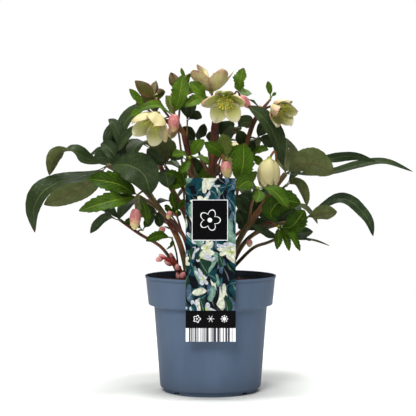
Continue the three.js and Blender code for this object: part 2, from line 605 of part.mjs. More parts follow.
function stem([name, , tubes], held) {
  const parts = tubes.map((one) => tube(stalkPoints(one, held), one[0]));
  for (const [owner, top, direction, length, width] of STEM_BUDS) {
    if (owner !== name) continue;
    const sunk = top.map((value, k) => value - SINK * direction[k]);
    parts.push(toSolid(budShape(sunk, direction, length + SINK, width, 5)));
  }
  for (const [owner, hub, leaflets] of STEM_LEAVES) {
    if (owner === name) parts.push(leaf(sight(hub), leaflets));
  }
  return fuse(parts);
}

// The plain hole that a stem stands in.
function stemHole([, , tubes], held) {
  const [radius] = tubes[0];
  const path = stalkPoints(tubes[0], held);
  const foot = path[0].clone().add(path[0].clone().sub(path[1]).setLength(GAP));
  return tube([foot, ...path.slice(1)], radius / Math.cos(Math.PI / sidesOf(radius)) + GAP, radius);
}

// ---- pot, soil and label ----------------------------------------------------------------------
function lathe(outline, sides) {
  const points = outline.map(([r, z]) => new THREE.Vector2(r, z));
  return toSolid(new THREE.LatheGeometry(points, sides).rotateX(Math.PI / 2));
}

const FLOOR_TOP = 6;           // inner floor of the pot
const bodyRadius = (z) => THREE.MathUtils.mapLinear(z, FOOT_HEIGHT, BAND_FOOT_HEIGHT,
  BODY_FOOT_RADIUS, BODY_TOP_RADIUS);
const bandRadius = (z) => THREE.MathUtils.mapLinear(z, BAND_FOOT_HEIGHT, POT_HEIGHT - 3,
  BAND_FOOT_RADIUS, LIP_RADIUS - 1.2);

function pot() {
  const outline = [
    [0, 0], [PAD_RADIUS, 0], [PAD_RADIUS + 2, FOOT_HEIGHT - 1], [FOOT_RADIUS - 4, FOOT_HEIGHT - 1],
    [FOOT_RADIUS - 3, 0], [FOOT_RADIUS, 0], [FOOT_RADIUS + 0.8, FOOT_HEIGHT],
    [BODY_FOOT_RADIUS, FOOT_HEIGHT + 1.4],
    [bodyRadius(BAND_FOOT_HEIGHT - 1), BAND_FOOT_HEIGHT - 1], [BAND_FOOT_RADIUS, BAND_FOOT_HEIGHT + 0.6],
    [bandRadius(POT_HEIGHT - 3.4), POT_HEIGHT - 3.4], [LIP_RADIUS, POT_HEIGHT - 2], [LIP_RADIUS, POT_HEIGHT],
    [LIP_RADIUS - POT_WALL, POT_HEIGHT], [bandRadius(BAND_FOOT_HEIGHT) - POT_WALL, BAND_FOOT_HEIGHT + 2],
    [bodyRadius(BAND_FOOT_HEIGHT) - POT_WALL, BAND_FOOT_HEIGHT], [BODY_FOOT_RADIUS - POT_WALL - 1, FLOOR_TOP],
    [0, FLOOR_TOP],
  ];
  let solid = lathe(outline, POT_SIDES);
  for (let k = 0; k < DRAIN_HOLES; k += 1) {
    const turn = ((k + 0.5) * 2 * Math.PI) / DRAIN_HOLES;
    const hole = new THREE.CylinderGeometry(DRAIN_RADIUS, DRAIN_RADIUS, 20, 10).rotateX(Math.PI / 2);
    const notch = new THREE.BoxGeometry(...NOTCH, 2 * FOOT_HEIGHT - 3).rotateZ(turn);
    const [cos, sin] = [Math.cos(turn), Math.sin(turn)];
    solid = solid.subtract(toSolid(hole.translate(DRAIN_CIRCLE * cos, DRAIN_CIRCLE * sin, FLOOR_TOP)));
    solid = solid.subtract(toSolid(notch.translate(FOOT_RADIUS * cos, FOOT_RADIUS * sin, 0)));
  }
  return solid;
}

function soilTop(r, turn) {
  const edge = Math.min(1, (BODY_TOP_RADIUS + 4 - r) / 20);
  const bumps = Math.sin(r / 5.3 + 3 * turn) + Math.sin(7 * turn - r / 8) + Math.cos(r / 3.1);
  return SOIL_TOP + (SOIL_BUMP / 2) * bumps * edge;
}

function soil(holes) {
  const inner = BAND_FOOT_HEIGHT + 2;
  const clear = POT_WALL + GAP + 0.2;
  const edge = bandRadius(SOIL_TOP) - clear - 0.4;
  const rings = [edge, 52, 24, 0];
  const outline = [
    [0, FLOOR_TOP + GAP], [BODY_FOOT_RADIUS - clear - 2.5, FLOOR_TOP + GAP],
    [bodyRadius(BAND_FOOT_HEIGHT) - clear - 0.3, BAND_FOOT_HEIGHT],
    [bandRadius(inner) - clear - 0.6, inner + 1],
    ...rings.map((r) => [r, SOIL_TOP]),
  ];
  const points = outline.map(([r, z]) => new THREE.Vector2(r, z));
  const geometry = new THREE.LatheGeometry(points, POT_SIDES).rotateX(Math.PI / 2);
  const position = geometry.attributes.position;
  for (let i = 0; i < position.count; i += 1) {
    if (position.getZ(i) < SOIL_TOP - 1) continue;
    const [x, y] = [position.getX(i), position.getY(i)];
    position.setZ(i, soilTop(Math.hypot(x, y), Math.round(Math.atan2(y, x) * 1e4) / 1e4));
  }
  return holes.reduce((whole, hole) => whole.subtract(hole), toSolid(geometry));
}

// The label's side view: front sheet, fold and a tail that leans into the soil.
const PANEL_Y = -(LIP_RADIUS + GAP + LABEL_SHEET / 2);
const TAIL_FOOT = [-75, 124];

function slab(path, width, thickness) {
  const outline = new THREE.Shape();
  const offsets = (side) => path.map(([y, z], i) => {
    const [a, b] = [path[Math.max(0, i - 1)], path[Math.min(path.length - 1, i + 1)]];
    const span = Math.hypot(b[0] - a[0], b[1] - a[1]);
    return [y - (side * (b[1] - a[1])) / span, z + (side * (b[0] - a[0])) / span];
  });
  const ring = [...offsets(thickness / 2), ...offsets(-thickness / 2).reverse()];
  ring.forEach(([y, z], i) => (i === 0 ? outline.moveTo(y, z) : outline.lineTo(y, z)));
  const geometry = new THREE.ExtrudeGeometry(outline, { depth: width, bevelEnabled: false });
  // The drawing's axes become Y and Z, the depth becomes X.
  const turn = new THREE.Matrix4().makeBasis(
    new THREE.Vector3(0, 1, 0), new THREE.Vector3(0, 0, 1), new THREE.Vector3(1, 0, 0));
  return toSolid(geometry.translate(0, 0, -width / 2).applyMatrix4(turn));
}

const FOLD_PATH = [
  [PANEL_Y, LABEL_TOP - 6], [PANEL_Y + 0.3, LABEL_TOP - 1.2], [PANEL_Y + 1.2, LABEL_TOP - 0.4],
  [PANEL_Y + 2.1, LABEL_TOP - 1.2], [PANEL_Y + 2.6, LABEL_TOP - 6],
];

function labelTail(thickness, extra) {
  const lean = [TAIL_FOOT[0], TAIL_FOOT[1] - extra];
  return slab([FOLD_PATH[4], lean], TAIL_WIDTH + 2 * extra, thickness);
}

function label() {
  const panel = slab([[PANEL_Y, LABEL_BOTTOM], [PANEL_Y, LABEL_TOP - 6]], LABEL_WIDTH, LABEL_SHEET);
  return panel.add(slab(FOLD_PATH, LABEL_WIDTH, LABEL_SHEET)).add(labelTail(LABEL_SHEET, 0));
}

// ---- the whole plant ------------------------------------------------------------------------------
const plant = new THREE.Group();

function add(name, solid, kind) {
  const mesh = new THREE.Mesh(toGeometry(solid), FINISHES[kind]());
  mesh.name = name;
  plant.add(mesh);
}

// The far leaves are laid out in true positions, so their sighting is undone first.
function unsight([x, y, z]) {
  const spread = 1 + y / EYE_DISTANCE;
  return [x / spread, y, EYE_HEIGHT + (z - EYE_HEIGHT) / spread];
}
const unsightLeaflet = ([width, face, ...points]) => [width, face, ...points.map(unsight)];
const farLeaves = FAR_LEAVES.map(farLeaf).map(([name, kind, hub, leaflets]) => (
  [name, kind, unsight(hub), leaflets.map(unsightLeaflet)]
));
const allLeaves = [...LEAVES, ...farLeaves];
const held = seats(allLeaves);

add('pot', pot(), 'pot');
const holes = STEMS.map((one) => stemHole(one, held));
const labelSlot = labelTail(LABEL_SHEET + 2 * GAP, GAP + 0.1);
add('soil', soil([...holes, labelSlot]), 'soil');
add('label', label(), 'label');
for (const one of STEMS) add(one[0], stem(one, held), one[1]);
for (const [name, kind, hub, leaflets] of allLeaves) add(name, leaf(sight(hub), leaflets), kind);
for (const one of FLOWERS) {
  add(one[0], flower(one), one[1]);
  if (OPEN_FLOWERS.includes(one[0])) add(one[0].replace('flower', 'stamens'), stamens(one), 'stamen');
}
for (const [name, top, direction, length, width] of BUDS) {
  add(name, toSolid(budShape(top, direction, length, width, 9)), 'bud');
}

export default plant;
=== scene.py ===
# %% [markdown]
# A hellebore in its nursery pot. The real thing is a grown plant, so almost nothing on it is flat or
# straight: leathery leaflets arch from a few knots, cup-shaped flowers nod on fleshy stalks, and only the
# pot and its care label were made by a machine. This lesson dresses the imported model, which already
# holds every piece at its true size and place. Each piece is modelled again here with finer facets,
# from the same rules, so that it lies where its plain solid lies.

# %% Start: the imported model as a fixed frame
import json
import math
import random

import bmesh
import bpy
from mathutils import Matrix, Vector, noise

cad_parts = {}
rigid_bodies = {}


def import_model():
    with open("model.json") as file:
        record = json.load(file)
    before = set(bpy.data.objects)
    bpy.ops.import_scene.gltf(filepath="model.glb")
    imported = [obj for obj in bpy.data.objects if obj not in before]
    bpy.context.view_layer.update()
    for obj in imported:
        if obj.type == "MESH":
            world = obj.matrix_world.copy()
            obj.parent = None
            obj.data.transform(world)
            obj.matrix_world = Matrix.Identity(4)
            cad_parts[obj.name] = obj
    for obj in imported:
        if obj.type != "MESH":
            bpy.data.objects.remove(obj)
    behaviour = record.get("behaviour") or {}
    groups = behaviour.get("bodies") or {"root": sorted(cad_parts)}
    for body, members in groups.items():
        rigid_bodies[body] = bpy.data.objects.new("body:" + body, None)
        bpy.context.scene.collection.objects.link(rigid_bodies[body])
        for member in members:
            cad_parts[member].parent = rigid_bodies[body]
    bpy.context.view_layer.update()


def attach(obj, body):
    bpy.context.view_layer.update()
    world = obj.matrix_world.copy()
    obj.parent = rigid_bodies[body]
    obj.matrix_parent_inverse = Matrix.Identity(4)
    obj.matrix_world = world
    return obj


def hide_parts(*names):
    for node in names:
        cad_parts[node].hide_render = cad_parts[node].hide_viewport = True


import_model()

# %% [markdown]
# The camera comes first, because everything that follows is seen through it. A long lens from almost
# two metres away keeps the pot's rim nearly flat, and a slight downward tilt shows a little soil. The
# eye's height and distance also serve to place the leaves, so they are named once. Colours are shown
# without a film curve, so that each finish is seen as the colour it is given.

# %% Camera
MM = 0.001
EYE_ACROSS = -3.3
EYE_DISTANCE = 1840
EYE_HEIGHT = 303
EYE_TILT = math.radians(2.06)
LENS = 122.9
SENSOR = 36

camera_data = bpy.data.cameras.new("eye")
camera_data.lens = LENS
camera_data.sensor_width = SENSOR
camera = bpy.data.objects.new("eye", camera_data)
camera.location = (EYE_ACROSS * MM, -EYE_DISTANCE * MM, EYE_HEIGHT * MM)
camera.rotation_euler = (math.radians(90) - EYE_TILT, 0, 0)
bpy.context.scene.collection.objects.link(camera)
bpy.context.scene.camera = camera
bpy.context.scene.view_settings.view_transform = "Standard"
print("camera", tuple(round(v, 3) for v in camera.location))

# %% [markdown]
# Materials are built from nodes, and a few helpers keep that readable. `new_finish` makes a material
# with its even values set straight on the shader. `add_node` adds a node and fills its inputs in order,
# and arithmetic with what a node gives out adds the node that works out the result. `mask` turns a
# value into a soft step between two limits, and `layered` lays colours over each other.

# %% Helpers: colours and nodes
def srgb(red, green, blue):
    """A display colour of 0 to 255 as the linear colour that shaders use."""
    def linear(value):
        share = value / 255
        return share / 12.92 if share <= 0.04045 else ((share + 0.055) / 1.055) ** 2.4
    return (linear(red), linear(green), linear(blue), 1.0)


def new_finish(name, roughness, **gloss):
    """A material whose even values are set straight on the shader's own sockets."""
    material = bpy.data.materials.new(name)
    material.use_nodes = True
    shader = material.node_tree.nodes["Principled BSDF"]
    shader.inputs["Roughness"].default_value = roughness
    for socket, value in gloss.items():
        shader.inputs[socket.replace("_", " ")].default_value = value
    return material, material.node_tree, shader


class Value:
    """What a node gives out; arithmetic with it adds the node that works out the result."""

    def __init__(self, tree, socket):
        self.tree, self.socket = tree, socket

    def __add__(self, other): return maths("ADD", self, other)
    def __sub__(self, other): return maths("SUBTRACT", self, other)
    def __rsub__(self, other): return maths("SUBTRACT", other, self)
    def __mul__(self, other): return maths("MULTIPLY", self, other)
    def __truediv__(self, other): return maths("DIVIDE", self, other)
    def __lt__(self, other): return maths("LESS_THAN", self, other)
    def __gt__(self, other): return maths("GREATER_THAN", self, other)
    def __abs__(self): return maths("ABSOLUTE", self)


def feed(tree, socket, source):
    """Links a value to a socket, sets a plain number or colour on it, and leaves it alone for None."""
    if isinstance(source, Value):
        tree.links.new(source.socket, socket)
    elif source is not None:
        socket.default_value = source


def add_node(tree, kind, *sources, out=0, named=None, **settings):
    """Adds a node, fills its inputs in order or by name, and gives back one of its outputs."""
    node = tree.nodes.new(kind)
    for key, value in settings.items():
        setattr(node, key, value)
    for socket, source in zip(node.inputs, sources):
        feed(tree, socket, source)
    for name, source in (named or {}).items():
        feed(tree, node.inputs[name], source)
    return Value(tree, node.outputs[out])


def maths(operation, *sources):
    tree = next(source.tree for source in sources if isinstance(source, Value))
    return add_node(tree, "ShaderNodeMath", *sources, operation=operation)


def split(vector):
    """The three parts of a vector."""
    parts = add_node(vector.tree, "ShaderNodeSeparateXYZ", vector).socket.node.outputs
    return [Value(vector.tree, part) for part in parts]


def mask(value, low, high):
    """0 below one limit and 1 above the other, with a soft step between."""
    return add_node(value.tree, "ShaderNodeMapRange", value, low, high, 0.0, 1.0,
                    interpolation_type="SMOOTHSTEP")


COLOUR_A, COLOUR_OUT = 6, 2


def blend(factor, first, second):
    """The first colour where the factor is 0, the second where it is 1."""
    return add_node(factor.tree, "ShaderNodeMix", factor, *[None] * (COLOUR_A - 1), first, second,
                    out=COLOUR_OUT, data_type="RGBA")


def layered(colour, *layers):
    """Lays (factor, colour) pairs over a first colour, one after the other."""
    for factor, above in layers:
        colour = blend(factor, colour, above)
    return colour


def speckle(tree, scale, detail, roughness, place=None):
    """Cloudy noise over the object's own coordinates, or over a given place."""
    place = place or add_node(tree, "ShaderNodeTexCoord", out=3)
    return add_node(tree, "ShaderNodeTexNoise", place, None, scale, detail, roughness)


def paint(shader, **sources):
    """Links values to the shader's inputs; an underscore stands for a space in their names."""
    for name, source in sources.items():
        feed(source.tree, shader.inputs[name.replace("_", " ")], source)


def raise_bump(shader, height, strength, distance):
    paint(shader, Normal=add_node(height.tree, "ShaderNodeBump", strength, distance, None, height))


print("node helpers are ready")

# %% [markdown]
# A nursery photographs its plants on a white table under large soft lamps. The floor is one pale disc.
# The world lights the plant evenly but weakly, is dimmer still where something glossy mirrors it, and
# looks pure white where nothing stands before it, which hides the disc's edge. One wide lamp in front
# gives the leaves their broad, soft highlights, one overhead draws the soft shadow round the pot's
# foot, and two weak ones fill the right and the far side.

# %% Studio: floor, world and lamps
def circle(corners, radius=1.0):
    """The corners of a circle round the origin, as (x, y) pairs."""
    turns = [2 * math.pi * k / corners for k in range(corners)]
    return [(radius * math.cos(turn), radius * math.sin(turn)) for turn in turns]


def plain_mesh(name, points, faces):
    """A mesh object from points in metres."""
    mesh = bpy.data.meshes.new(name)
    mesh.from_pydata(points, [], faces)
    piece = bpy.data.objects.new(name, mesh)
    bpy.context.scene.collection.objects.link(piece)
    return piece


FLOOR_RADIUS, FLOOR_CORNERS = 1.3, 64
floor = plain_mesh("white_table", [(x, y, 0) for x, y in circle(FLOOR_CORNERS, FLOOR_RADIUS)],
                   [tuple(range(FLOOR_CORNERS))])
paper = new_finish("studio_paper", 0.9, Base_Color=srgb(228, 229, 226), Specular_IOR_Level=0.1)
floor.data.materials.append(paper[0])

WORLD_GLOW = 0.33
GLOSS_SHARE = 0.35
world = bpy.data.worlds.new("studio_air")
world.use_nodes = True
bpy.context.scene.world = world
air = world.node_tree
ray = air.nodes.new("ShaderNodeLightPath").outputs
glow = add_node(air, "ShaderNodeMapRange", Value(air, ray["Is Glossy Ray"]), None, None,
                WORLD_GLOW, WORLD_GLOW * GLOSS_SHARE)
background = air.nodes["Background"]
feed(air, background.inputs["Color"], (0.98, 0.99, 1.0, 1))
feed(air, background.inputs["Strength"], glow)
plain_white = add_node(air, "ShaderNodeBackground", (1, 1, 1, 1))
either = add_node(air, "ShaderNodeMixShader", Value(air, ray["Is Camera Ray"]),
                  Value(air, background.outputs[0]), plain_white)
feed(air, air.nodes["World Output"].inputs["Surface"], either)


def add_lamp(name, place, target, width, watts):
    lamp_data = bpy.data.lights.new(name, "AREA")
    lamp_data.shape = "DISK"
    lamp_data.size = width
    lamp_data.energy = watts
    lamp = bpy.data.objects.new(name, lamp_data)
    lamp.location = place
    lamp.rotation_euler = (Vector(target) - Vector(place)).to_track_quat("-Z", "Y").to_euler()
    bpy.context.scene.collection.objects.link(lamp)


PLANT_MIDDLE = (0, 0, 0.22)
add_lamp("key_lamp", (-0.6, -1.9, 1.7), PLANT_MIDDLE, 1.0, 42)
add_lamp("top_lamp", (0, 0, 2.0), (0, 0, 0), 0.9, 50)
add_lamp("fill_lamp", (1.4, -1.3, 0.9), PLANT_MIDDLE, 1.4, 0.8)
add_lamp("far_lamp", (0.3, 1.6, 1.5), (0, 0.7, 0), 1.4, 12)
print("studio with", len(bpy.data.lights), "lamps")

# %% [markdown]
# Leaves and stalks follow smooth paths through a few points. A Catmull-Rom curve passes through every
# point it is given, which makes it easy to steer by hand. The path is walked by the share of its
# length, so that teeth, veins and stalk rings come out evenly spaced.

# %% Helpers: smooth paths
def clamp(value):
    return min(1, max(0, value))


def sight(point):
    """A point of the front elevation (across, depth, up), in millimetres, moved to where it really is."""
    across, depth, up = point
    spread = 1 + depth / EYE_DISTANCE
    return Vector((across * spread, depth, EYE_HEIGHT + (up - EYE_HEIGHT) * spread))


class SmoothPath:
    """A curve through points, read by the share of its length from 0 to 1."""

    def __init__(self, points, dots_per_span=24):
        ends = [2 * points[0] - points[1], *points, 2 * points[-1] - points[-2]]
        self.dots = []
        for a, b, c, d in zip(ends, ends[1:], ends[2:], ends[3:]):
            leave, arrive = (c - a) / 2, (d - b) / 2
            for k in range(dots_per_span):
                t = k / dots_per_span
                self.dots.append(b + t * leave + t * t * (3 * (c - b) - 2 * leave - arrive)
                                 + t ** 3 * (2 * (b - c) + leave + arrive))
        self.dots.append(points[-1].copy())
        self.reach = [0.0]
        for a, b in zip(self.dots, self.dots[1:]):
            self.reach.append(self.reach[-1] + (b - a).length)
        self.length = self.reach[-1]

    def at(self, share):
        goal = clamp(share) * self.length
        low, high = 0, len(self.reach) - 1
        while high - low > 1:
            middle = (low + high) // 2
            low, high = (middle, high) if self.reach[middle] <= goal else (low, middle)
        part = (goal - self.reach[low]) / max(1e-9, self.reach[high] - self.reach[low])
        return self.dots[low].lerp(self.dots[high], part)

    def tangent(self, share, step=0.01):
        return (self.at(share + step) - self.at(share - step)).normalized()


def squared(normal, tangent):
    """The part of a direction that is square to the path."""
    return (normal - tangent * normal.dot(tangent)).normalized()


two_dots = [Vector((0, 0, 0)), Vector((3, 4, 0))]
print("a straight path of two points is", round(SmoothPath(two_dots).length, 3), "long")

# %% [markdown]
# Every part of the plant is a closed skin: a leaflet is a thin sheet with an upper and a lower side, a
# stalk is a tube closed at both ends. A small collector gathers the skins of one piece. Each vertex also
# carries a mark (where it lies across and along its blade, and which blade it is) and a side (0 on the
# upper side, 1 on the lower), and the materials read both instead of a flat picture. The finishes are
# kept by kind, each with the slot that it belongs to.

# %% Helpers: closed skins and finished pieces
class Skin:
    """Vertices in millimetres and faces of one piece, with the marks its material reads."""

    def __init__(self):
        self.points, self.faces, self.marks, self.sides = [], [], [], []

    def dot(self, point, mark, side=0.0):
        self.points.append(point)
        self.marks.append(mark)
        self.sides.append(side)
        return len(self.points) - 1

    def sheet(self, rows):
        """Rows of (point, normal, half thickness, mark) become a closed sheet."""
        upper = [[self.dot(p + n * h, m, 0.0) for p, n, h, m in row] for row in rows]
        lower = [[self.dot(p - n * h, m, 1.0) for p, n, h, m in row] for row in rows]
        for i in range(len(rows) - 1):
            for j in range(len(rows[0]) - 1):
                self.faces.append((upper[i][j], upper[i + 1][j], upper[i + 1][j + 1], upper[i][j + 1]))
                self.faces.append((lower[i][j + 1], lower[i + 1][j + 1], lower[i + 1][j], lower[i][j]))
            for j, turn in ((0, 1), (-1, -1)):
                rim = (upper[i + 1][j], upper[i][j], lower[i][j], lower[i + 1][j])
                self.faces.append(rim[::turn])
        for i, turn in ((0, 1), (-1, -1)):
            for j in range(len(rows[0]) - 1):
                rim = (upper[i][j], upper[i][j + 1], lower[i][j + 1], lower[i][j])
                self.faces.append(rim[::turn])

    def rings(self, rings, marks):
        """Rings of points, each closed on itself, become a tube; its ends are drawn to a point."""
        loops = [[self.dot(p, m) for p, m in zip(ring, row)] for ring, row in zip(rings, marks)]
        count = len(rings[0])
        for a, b in zip(loops, loops[1:]):
            for k in range(count):
                self.faces.append((a[k], a[(k + 1) % count], b[(k + 1) % count], b[k]))
        for end, turn in ((0, -1), (-1, 1)):
            loop, tip = loops[end], self.dot(sum(rings[end], Vector()) / count, marks[end][0])
            for k in range(count):
                self.faces.append((loop[k], loop[(k + 1) % count], tip)[::turn])

    def ball(self, centre, radius, mark=(0, 0, 0), rings=6, around=10):
        layers = []
        for i in range(1, rings):
            lean = math.pi * i / rings
            layers.append([centre + radius * Vector((x, y, -math.cos(lean)))
                           for x, y in circle(around, math.sin(lean))])
        self.rings(layers, [[mark] * around] * len(layers))


def closed_mesh(name, points, faces):
    """A mesh object from points in millimetres, with every face turned outwards."""
    piece = plain_mesh(name, [tuple(value * MM for value in point) for point in points], faces)
    work = bmesh.new()
    work.from_mesh(piece.data)
    bmesh.ops.recalc_face_normals(work, faces=work.faces)
    work.to_mesh(piece.data)
    work.free()
    return piece


def dress(piece, slot, *nodes):
    """The piece moves with the one body and stands for the plain solids it is named after."""
    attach(piece, "root")
    if nodes:
        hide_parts(*nodes)


SHARP = math.radians(52)
finishes = {}


def make_piece(name, skin, kind, *nodes):
    """A dressed object with the finish of its kind and its marks stored; gives back its face count."""
    slot, material = finishes[kind]
    piece = closed_mesh(name, skin.points, skin.faces)
    mesh = piece.data
    mesh.attributes.new("mark", "FLOAT_VECTOR", "POINT").data.foreach_set(
        "vector", [value for mark in skin.marks for value in mark])
    mesh.attributes.new("side", "FLOAT", "POINT").data.foreach_set("value", skin.sides)
    mesh.materials.append(material)
    mesh.shade_smooth()
    mesh.set_sharp_from_angle(angle=SHARP)
    dress(piece, slot, *nodes)
    return len(skin.faces)


def read_marks(tree):
    """Across, along and number of the blade, and its side."""
    marks = add_node(tree, "ShaderNodeAttribute", attribute_name="mark", out=1)
    return *split(marks), add_node(tree, "ShaderNodeAttribute", attribute_name="side", out=2)


print("piece helpers are ready")

# %% [markdown]
# The pot is injection-moulded plastic: a body of revolution with a wide band under the lip, a step
# below it and a low foot ring. Its outline is turned round the axis. Real edges are never knife-sharp,
# so every corner of the outline is first rounded with a short arc; those arcs catch the thin highlights
# that tell the eye it is plastic.

# %% Pot: turned outline
POT_HEIGHT = 150
LIP_RADIUS = 85
BAND_FOOT_RADIUS = 80.4
BAND_FOOT_HEIGHT = 112
BODY_TOP_RADIUS = 73.4
BODY_FOOT_RADIUS = 65.4
FOOT_RADIUS = 60.8
FOOT_HEIGHT = 4.5
POT_WALL = 1.6
PAD_RADIUS = 20
FLOOR_TOP = 6
POT_FACETS = 128
SOIL_TOP = 140


def between(value, low, high, at_low, at_high):
    return at_low + (at_high - at_low) * (value - low) / (high - low)


def body_radius(z):
    return between(z, FOOT_HEIGHT, BAND_FOOT_HEIGHT, BODY_FOOT_RADIUS, BODY_TOP_RADIUS)


def band_radius(z):
    return between(z, BAND_FOOT_HEIGHT, POT_HEIGHT - 3, BAND_FOOT_RADIUS, LIP_RADIUS - 1.2)


def rounded(outline, arc_points=3):
    """Rounds the corners of an open outline of (radius, z, rounding)."""
    smooth = [Vector(outline[0][:2])]
    for before, corner, after in zip(outline, outline[1:], outline[2:]):
        here, size = Vector(corner[:2]), corner[2]
        back, ahead = Vector(before[:2]) - here, Vector(after[:2]) - here
        reach = min(size, 0.45 * back.length, 0.45 * ahead.length)
        start, end = here + back.normalized() * reach, here + ahead.normalized() * reach
        for k in range(arc_points + 1):
            t = k / arc_points
            smooth.append((1 - t) ** 2 * start + 2 * t * (1 - t) * here + t * t * end)
    smooth.append(Vector(outline[-1][:2]))
    return smooth


def turned(name, outline, facets, height=None):
    """An outline of (radius, z) from axis to axis, turned into a closed body.

    Where z is None, height works it out from the place.
    """
    def dots(radius, z, corners=facets):
        return [(x, y, height(x, y) if z is None else z) for x, y in circle(corners, radius)]

    def at(ring, k):
        return 1 + ring * facets + k % facets

    foot, *rings, top = outline
    points = dots(*foot, 1) + [dot for ring in rings for dot in dots(*ring)] + dots(*top, 1)
    last = len(rings) - 1
    faces = [(0, at(0, k + 1), at(0, k)) for k in range(facets)]
    for i in range(last):
        faces += [(at(i, k), at(i, k + 1), at(i + 1, k + 1), at(i + 1, k)) for k in range(facets)]
    faces += [(len(points) - 1, at(last, k), at(last, k + 1)) for k in range(facets)]
    return closed_mesh(name, points, faces)


pot_outline = rounded([
    (0, 0, 0), (PAD_RADIUS, 0, 0.8), (PAD_RADIUS + 2, FOOT_HEIGHT - 1, 0.8),
    (FOOT_RADIUS - 4, FOOT_HEIGHT - 1, 0.6), (FOOT_RADIUS - 3, 0, 0.6), (FOOT_RADIUS, 0, 1.0),
    (FOOT_RADIUS + 0.8, FOOT_HEIGHT, 1.2), (BODY_FOOT_RADIUS, FOOT_HEIGHT + 1.4, 2.2),
    (body_radius(107), 107, 1), (body_radius(BAND_FOOT_HEIGHT - 1) + 0.2, BAND_FOOT_HEIGHT - 0.6, 1.6),
    (BAND_FOOT_RADIUS, BAND_FOOT_HEIGHT + 0.2, 1.3), (band_radius(POT_HEIGHT - 4.6), POT_HEIGHT - 4.6, 0.9),
    (LIP_RADIUS - 0.4, POT_HEIGHT - 2.8, 0.7), (LIP_RADIUS, POT_HEIGHT, 1.2),
    (LIP_RADIUS - POT_WALL, POT_HEIGHT, 0.7),
    (band_radius(BAND_FOOT_HEIGHT) - POT_WALL, BAND_FOOT_HEIGHT + 2, 1.5),
    (body_radius(BAND_FOOT_HEIGHT) - POT_WALL, BAND_FOOT_HEIGHT, 1.5),
    (BODY_FOOT_RADIUS - POT_WALL - 1, FLOOR_TOP, 2), (0, FLOOR_TOP, 0),
])
pot = turned("nursery_pot", pot_outline, POT_FACETS)
print("pot outline has", len(pot_outline), "points")

# %% [markdown]
# Water has to get out: four round holes go through the floor, and four notches cut the foot ring so
# that the pot drains even on a flat bench. They are cut with Boolean modifiers, because a hole that is
# cut keeps the turned wall exact around it. The cutters are deleted once the cut is applied.

# %% Pot: drain holes and notches
DRAIN_HOLES, DRAIN_RADIUS, DRAIN_CIRCLE, DRAIN_CORNERS = 4, 4, 40, 24
NOTCH_THROUGH, NOTCH_ALONG = 14, 9
HOLE_SPAN, NOTCH_SPAN = (-2, FLOOR_TOP + 4), (-3, FOOT_HEIGHT - 1.5)
POT_SHARP = math.radians(35)


def settle(piece):
    """Replaces a piece's mesh by what its modifiers make of it, and removes the modifiers."""
    seen = piece.evaluated_get(bpy.context.evaluated_depsgraph_get())
    mesh = bpy.data.meshes.new_from_object(seen)
    piece.modifiers.clear()
    piece.data = mesh


def cut_away(piece, cutters):
    for cutter in cutters:
        cut = piece.modifiers.new("cut", "BOOLEAN")
        cut.operation = "DIFFERENCE"
        cut.solver = "EXACT"
        cut.object = cutter
    settle(piece)
    for cutter in cutters:
        bpy.data.objects.remove(cutter)


def cutter_over(corners, turn, heights):
    """A closed block between two heights over corners that are turned round the axis."""
    c, s, count = math.cos(turn), math.sin(turn), len(corners)
    points = [(x * c - y * s, x * s + y * c, z) for z in heights for x, y in corners]
    faces = [tuple(range(count)), tuple(range(count, 2 * count))]
    faces += [(k, (k + 1) % count, count + (k + 1) % count, count + k) for k in range(count)]
    return closed_mesh("cutter", points, faces)


hole = [(DRAIN_CIRCLE + x, y) for x, y in circle(DRAIN_CORNERS, DRAIN_RADIUS)]
notch = [(FOOT_RADIUS + x * NOTCH_THROUGH / 2, y * NOTCH_ALONG / 2)
         for x, y in ((-1, -1), (1, -1), (1, 1), (-1, 1))]
cutters = []
for k in range(DRAIN_HOLES):
    turn = (k + 0.5) * 2 * math.pi / DRAIN_HOLES
    cutters += [cutter_over(hole, turn, HOLE_SPAN), cutter_over(notch, turn, NOTCH_SPAN)]
cut_away(pot, cutters)
pot.data.shade_smooth()
pot.data.set_sharp_from_angle(angle=POT_SHARP)
print("pot:", len(pot.data.polygons), "faces")

# %% [markdown]
# The plastic is blue-grey and matt, with the fine grain that the mould's spark-eroded wall leaves.
# Handling polishes it in faint clouds, so the roughness wanders a little, and the colour turns darker and
# greyer towards the foot. The noise is stretched along the axis, as the wipe marks of a nursery bench are.
# The inner wall above the soil is painted near black, partly as splashed peat and partly as painted shade
# inside the pot; it is told from the outer one by its distance from the axis. A thin dark band just under
# the lip is painted shade as well.

# %% Pot: blue-grey plastic
DARKER_FOOT_HEIGHT = 0.03
LIP_SHADE = (0.1438, 0.1456, 0.1466, 0.1478)


